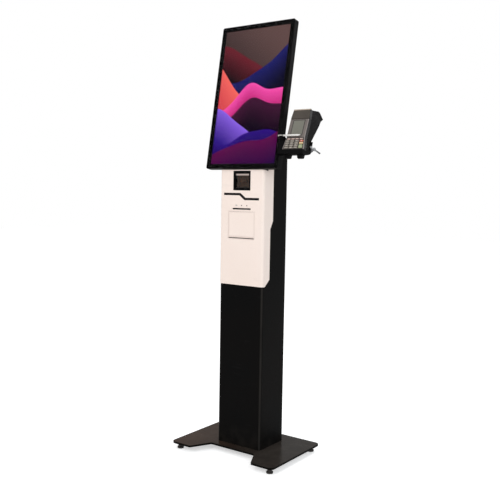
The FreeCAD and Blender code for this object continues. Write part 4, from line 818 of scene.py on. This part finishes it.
class KIOSK_OT_housings(bpy.types.Operator):
    """Round the edges of the moulded housings and the folded sheet"""

    bl_idname = "kiosk.housings"
    bl_label = "Housings and sheet"

    def execute(self, context):
        sizes = context.scene.kiosk_sizes
        for name in ("display_frame", "display_rear_shell", "terminal_top_case",
                     "terminal_base_case", "terminal_lid", "holder_cradle", "scanner_bezel"):
            softened(name, sizes.edge)
        for name in ("front_cover", "printer_door"):
            softened(name, sizes.sheet_edge, "cover_coat")
        softened("base_plate", sizes.sheet_edge, "plate_coat")
        return {"FINISHED"}


class KIOSK_OT_keys(bpy.types.Operator):
    """Make a rounded, dished cap with its sign for each of the terminal's keys"""

    bl_idname = "kiosk.keys"
    bl_label = "Key caps"

    signs = {"key_star": "*", "key_hash": "#", "key_cancel": "X", "key_clear": "<",
             "key_enter": "O", **{f"key_{n}": str(n) for n in range(10)}}
    brim = 0.0006

    def execute(self, context):
        sizes = context.scene.kiosk_sizes
        for name in sorted(n for n in NODES if n.startswith("key_")):
            low, high = local_box(name, TERMINAL)
            middle, half = (low + high) / 2, (high - low) / 2 - self.brim
            cap = key_cap(half[0], half[2], -high[1], -low[1], sizes.dish, sizes.crown)
            points, faces = closed([cap + np.array([middle[0], 0, middle[2]])])
            finish = NODES[name].material_slots[0].material.name
            piece(name + "_cap", place_points(points, TERMINAL), faces, finish, BODY_OF[name],
                  [name])
            if name in self.signs:
                self.add_sign(name, low[1] + sizes.dish, middle, half - sizes.crown, sizes)
        return {"FINISHED"}

    def add_sign(self, name, front, middle, flat, sizes):
        """A raised sign, from text made into a mesh: its front stands just over the highest part of
        the dish that it covers, at dish times the square of the share of the top that it reaches,
        and its back lies inside the cap."""
        half_thick, proud = 0.0002, 0.00004
        text = bpy.data.curves.new(name + "_sign", "FONT")
        text.body = self.signs[name]
        text.size = sizes.mark
        text.extrude = half_thick
        holder = in_scene(name + "_text", text)
        mesh = bpy.data.meshes.new_from_object(holder)
        points = np.empty(len(mesh.vertices) * 3)
        mesh.vertices.foreach_get("co", points)
        x, y, z = points.reshape(-1, 3).T
        x, y = x - (x.min() + x.max()) / 2, y - (y.min() + y.max()) / 2
        reach = np.max((np.abs(x) / flat[0]) ** 5 + (np.abs(y) / flat[2]) ** 5) ** 0.2
        face = front - sizes.dish * reach ** 2 - proud
        local = np.stack([x + middle[0], face + half_thick - z, y + middle[2]], -1)
        faces = [list(f.vertices) for f in mesh.polygons]
        bpy.data.objects.remove(holder)
        piece(name + "_sign", place_points(local, TERMINAL), faces, "white_plastic",
              BODY_OF[name])


class KIOSK_OT_pen(bpy.types.Operator):
    """Turn the white pen that lies in the cradle's wing"""

    bl_idname = "kiosk.pen"
    bl_label = "Pen"

    def execute(self, context):
        low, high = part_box("stylus")
        radius, reach = (high.z - low.z) / 2, high.x - low.x
        start = Vector((low.x, (low.y + high.y) / 2, (low.z + high.z) / 2))
        shares = [(0.30, 0.0), (0.72, 0.004), (0.94, 0.014), (1.0, 0.03), (1.0, 0.16),
                  (0.9, 0.165), (0.9, 0.175), (1.0, 0.18), (1.0, 0.72), (0.97, 0.74),
                  (0.97, 0.86), (0.9, 0.88), (0.55, 0.955), (0.3, 0.97), (0.26, 0.99),
                  (0.12, 1.0)]
        grid = turned([(radius * r, reach * s) for r, s in shares],
                      context.scene.kiosk_sizes.around, along(start, (1, 0, 0)))
        piece("pen_barrel", *closed([grid]), "white_plastic", "stylus", ["stylus"])
        return {"FINISHED"}


class KIOSK_OT_lever(bpy.types.Operator):
    """Turn the clamp lever's hub and its cross rod with rounded ends"""

    bl_idname = "kiosk.lever"
    bl_label = "Clamp lever"

    def execute(self, context):
        around = context.scene.kiosk_sizes.around
        end = Vector((0.2785, -0.00356, 1.18823))
        hub = [(0.0084, -0.0119), (0.0084, 0.0), (0.0061, 0.0001), (0.0065, 0.0006),
               (0.0065, 0.0125), (0.0061, 0.0141), (0.0049, 0.0149), (0.002, 0.015)]
        piece("lever_hub", *closed([turned(hub, around, along(end, (1, 0, 0)))]), "grey_lever",
              "clamp_lever")
        rod = [(0.0014, 0.0002), (0.0027, 0.0008), (0.0034, 0.0021), (0.0036, 0.0038),
               (0.0034, 0.020), (0.0033, 0.034), (0.0031, 0.058), (0.0032, 0.063),
               (0.0036, 0.0665), (0.0036, 0.069), (0.0031, 0.0708), (0.0018, 0.0717),
               (0.0006, 0.0719)]
        beyond, in_front, droop = 0.0105, 0.028, math.radians(17)
        back = Vector((0, math.cos(droop), -math.sin(droop)))
        start = end + Vector((beyond, 0, 0)) - in_front * back
        piece("lever_grip", *closed([turned(rod, around, along(start, back))]), "grey_lever",
              "clamp_lever", ["clamp_lever"])
        return {"FINISHED"}


class KIOSK_OT_reader(bpy.types.Operator):
    """Fit the code reader's domed lens and the covers of the two lamps beside it"""

    bl_idname = "kiosk.reader"
    bl_label = "Code reader"

    def execute(self, context):
        low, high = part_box("scanner_module")
        centre, body = (low.z + high.z) / 2, BODY_OF["scanner_module"]
        radius, rise, recess = 0.0059, 0.003, 0.0088
        dome = [(radius, 0.0), *((radius * math.cos(t), 0.0004 + rise * math.sin(t))
                                 for t in np.linspace(0, 1.5, 9))]
        held = along((0, low.y + recess, centre), (0, -1, 0))
        grid = turned(dome, context.scene.kiosk_sizes.around, held)
        piece("reader_lens", *closed([grid]), "reader_glass", body, slot="tinted_glass")
        half_width, half_height, back, front, aside = 0.0034, 0.0064, 0.0085, 0.0072, 0.017
        cover = key_cap(half_width, half_height, -low.y - back, -low.y - front, dish=0.0001,
                        crown=0.0006)
        lamps = [cover + np.array([side, 0, centre]) for side in (-aside, aside)]
        piece("reader_lamps", *closed(lamps), "lamp_plastic", body)
        return {"FINISHED"}


class KIOSK_OT_stage(bpy.types.Operator):
    """Pale floor, soft studio light, white background and the camera"""

    bl_idname = "kiosk.stage"
    bl_label = "Stage"

    def execute(self, context):
        self.make_floor()
        self.make_world(context.scene)
        self.make_lamps()
        self.make_camera(context.scene)
        return {"FINISHED"}

    def make_floor(self):
        """A wide square sheet on the floor that the camera sees a little paler than it is lit."""
        half = 14.0
        mesh = bpy.data.meshes.new("floor")
        mesh.from_pydata([(-half, -half, 0), (half, -half, 0), (half, half, 0), (-half, half, 0)],
                         [], [(0, 1, 2, 3)])
        floor = in_scene("floor", mesh)
        made, tree, place, shader = new_material("pale_floor")
        cloud = mottle(tree, place, 3.0, 3.0)
        connect(tree, shader, {
            "Base Color": blend(tree, cloud, (0.80, 0.80, 0.80), (0.83, 0.83, 0.83)),
            "Roughness": 0.9, "Specular IOR Level": 0.1, "Emission Strength": 0.56,
            "Emission Color": blend(tree, seen(tree), (0, 0, 0), (1, 1, 1))})
        mesh.materials.append(made)

    def make_world(self, scene):
        """White to the camera, gloss and glass, and a softer grey fill on matt surfaces."""
        world = bpy.data.worlds.new("studio")
        world.use_nodes = True
        tree = world.node_tree
        connect(tree, tree.nodes["Background"], {
            "Color": blend(tree, seen(tree), (0.55, 0.55, 0.56), (1, 1, 1)), "Strength": 1.0})
        scene.world = world

    def make_lamps(self):
        """Three large soft boxes: the key high up in front, a fill at the right, one behind."""
        aim, white, cool = Vector((0, 0, 0.9)), (1.0, 1.0, 1.0), (0.86, 0.96, 1.0)
        for name, spot, power, span, tint in (
                ("key_light", (-0.3, -3.6, 3.2), 68.0, 2.2, white),
                ("fill_light", (3.4, -1.2, 2.2), 32.0, 2.0, cool),
                ("back_light", (0.1, 3.6, 3.0), 70.0, 2.2, white)):
            lamp = bpy.data.lights.new(name, "AREA")
            lamp.energy = power
            lamp.size = span
            lamp.color = tint
            held = in_scene(name, lamp)
            held.location = spot
            held.rotation_euler = (aim - Vector(spot)).to_track_quat("-Z", "Y").to_euler()

    def make_camera(self, scene):
        """The photograph's eye: its place, its bearing and pitch, and its roll about its axis."""
        spot = (1.6671, -2.3217, 1.0303)
        bearing, pitch, roll = (math.radians(a) for a in (35.585, 4.561, 0.966))
        ahead = Vector((-math.sin(bearing) * math.cos(pitch),
                        math.cos(bearing) * math.cos(pitch), -math.sin(pitch)))
        right = Vector((math.cos(bearing), math.sin(bearing), 0))
        up = right.cross(ahead)
        side = math.cos(roll) * right + math.sin(roll) * up
        top = math.cos(roll) * up - math.sin(roll) * right
        eye = bpy.data.cameras.new("eye")
        eye.lens = 52.57
        eye.sensor_width = 36.0
        held = in_scene("eye", eye)
        held.matrix_world = Matrix.Translation(spot) @ Matrix(
            (side, top, -ahead)).transposed().to_4x4()
        scene.camera = held


class KIOSK_PT_panel(bpy.types.Panel):
    """Steps and settings of the kiosk, in order"""

    bl_idname = "KIOSK_PT_panel"
    bl_label = "Kiosk"
    bl_space_type = "VIEW_3D"
    bl_region_type = "UI"
    bl_category = "Kiosk"

    def draw(self, context):
        for settings in (context.scene.kiosk_colours, context.scene.kiosk_sizes):
            box = self.layout.box()
            for key in settings.bl_rna.properties.keys():
                if key not in ("rna_type", "name"):
                    box.prop(settings, key)
        for step in STEPS:
            self.layout.operator(step.bl_idname)


STEPS = (KIOSK_OT_finishes, KIOSK_OT_housings, KIOSK_OT_keys, KIOSK_OT_pen, KIOSK_OT_lever,
         KIOSK_OT_reader, KIOSK_OT_stage)
CLASSES = (KioskColours, KioskSizes, *STEPS, KIOSK_PT_panel)


def register():
    """Register the classes and attach the settings to the scene."""
    for made in CLASSES:
        bpy.utils.register_class(made)
    bpy.types.Scene.kiosk_colours = PointerProperty(type=KioskColours)
    bpy.types.Scene.kiosk_sizes = PointerProperty(type=KioskSizes)


def unregister():
    """Take the settings off the scene and unregister the classes."""
    del bpy.types.Scene.kiosk_colours
    del bpy.types.Scene.kiosk_sizes
    for made in reversed(CLASSES):
        bpy.utils.unregister_class(made)


def main():
    """Run every step in order."""
    register()
    bpy.context.scene.view_settings.view_transform = "Standard"
    for step in STEPS:
        group, name = step.bl_idname.split(".")
        if getattr(getattr(bpy.ops, group), name)() != {"FINISHED"}:
            raise RuntimeError(step.bl_label + " did not finish")


if __name__ == "__main__":
    main()
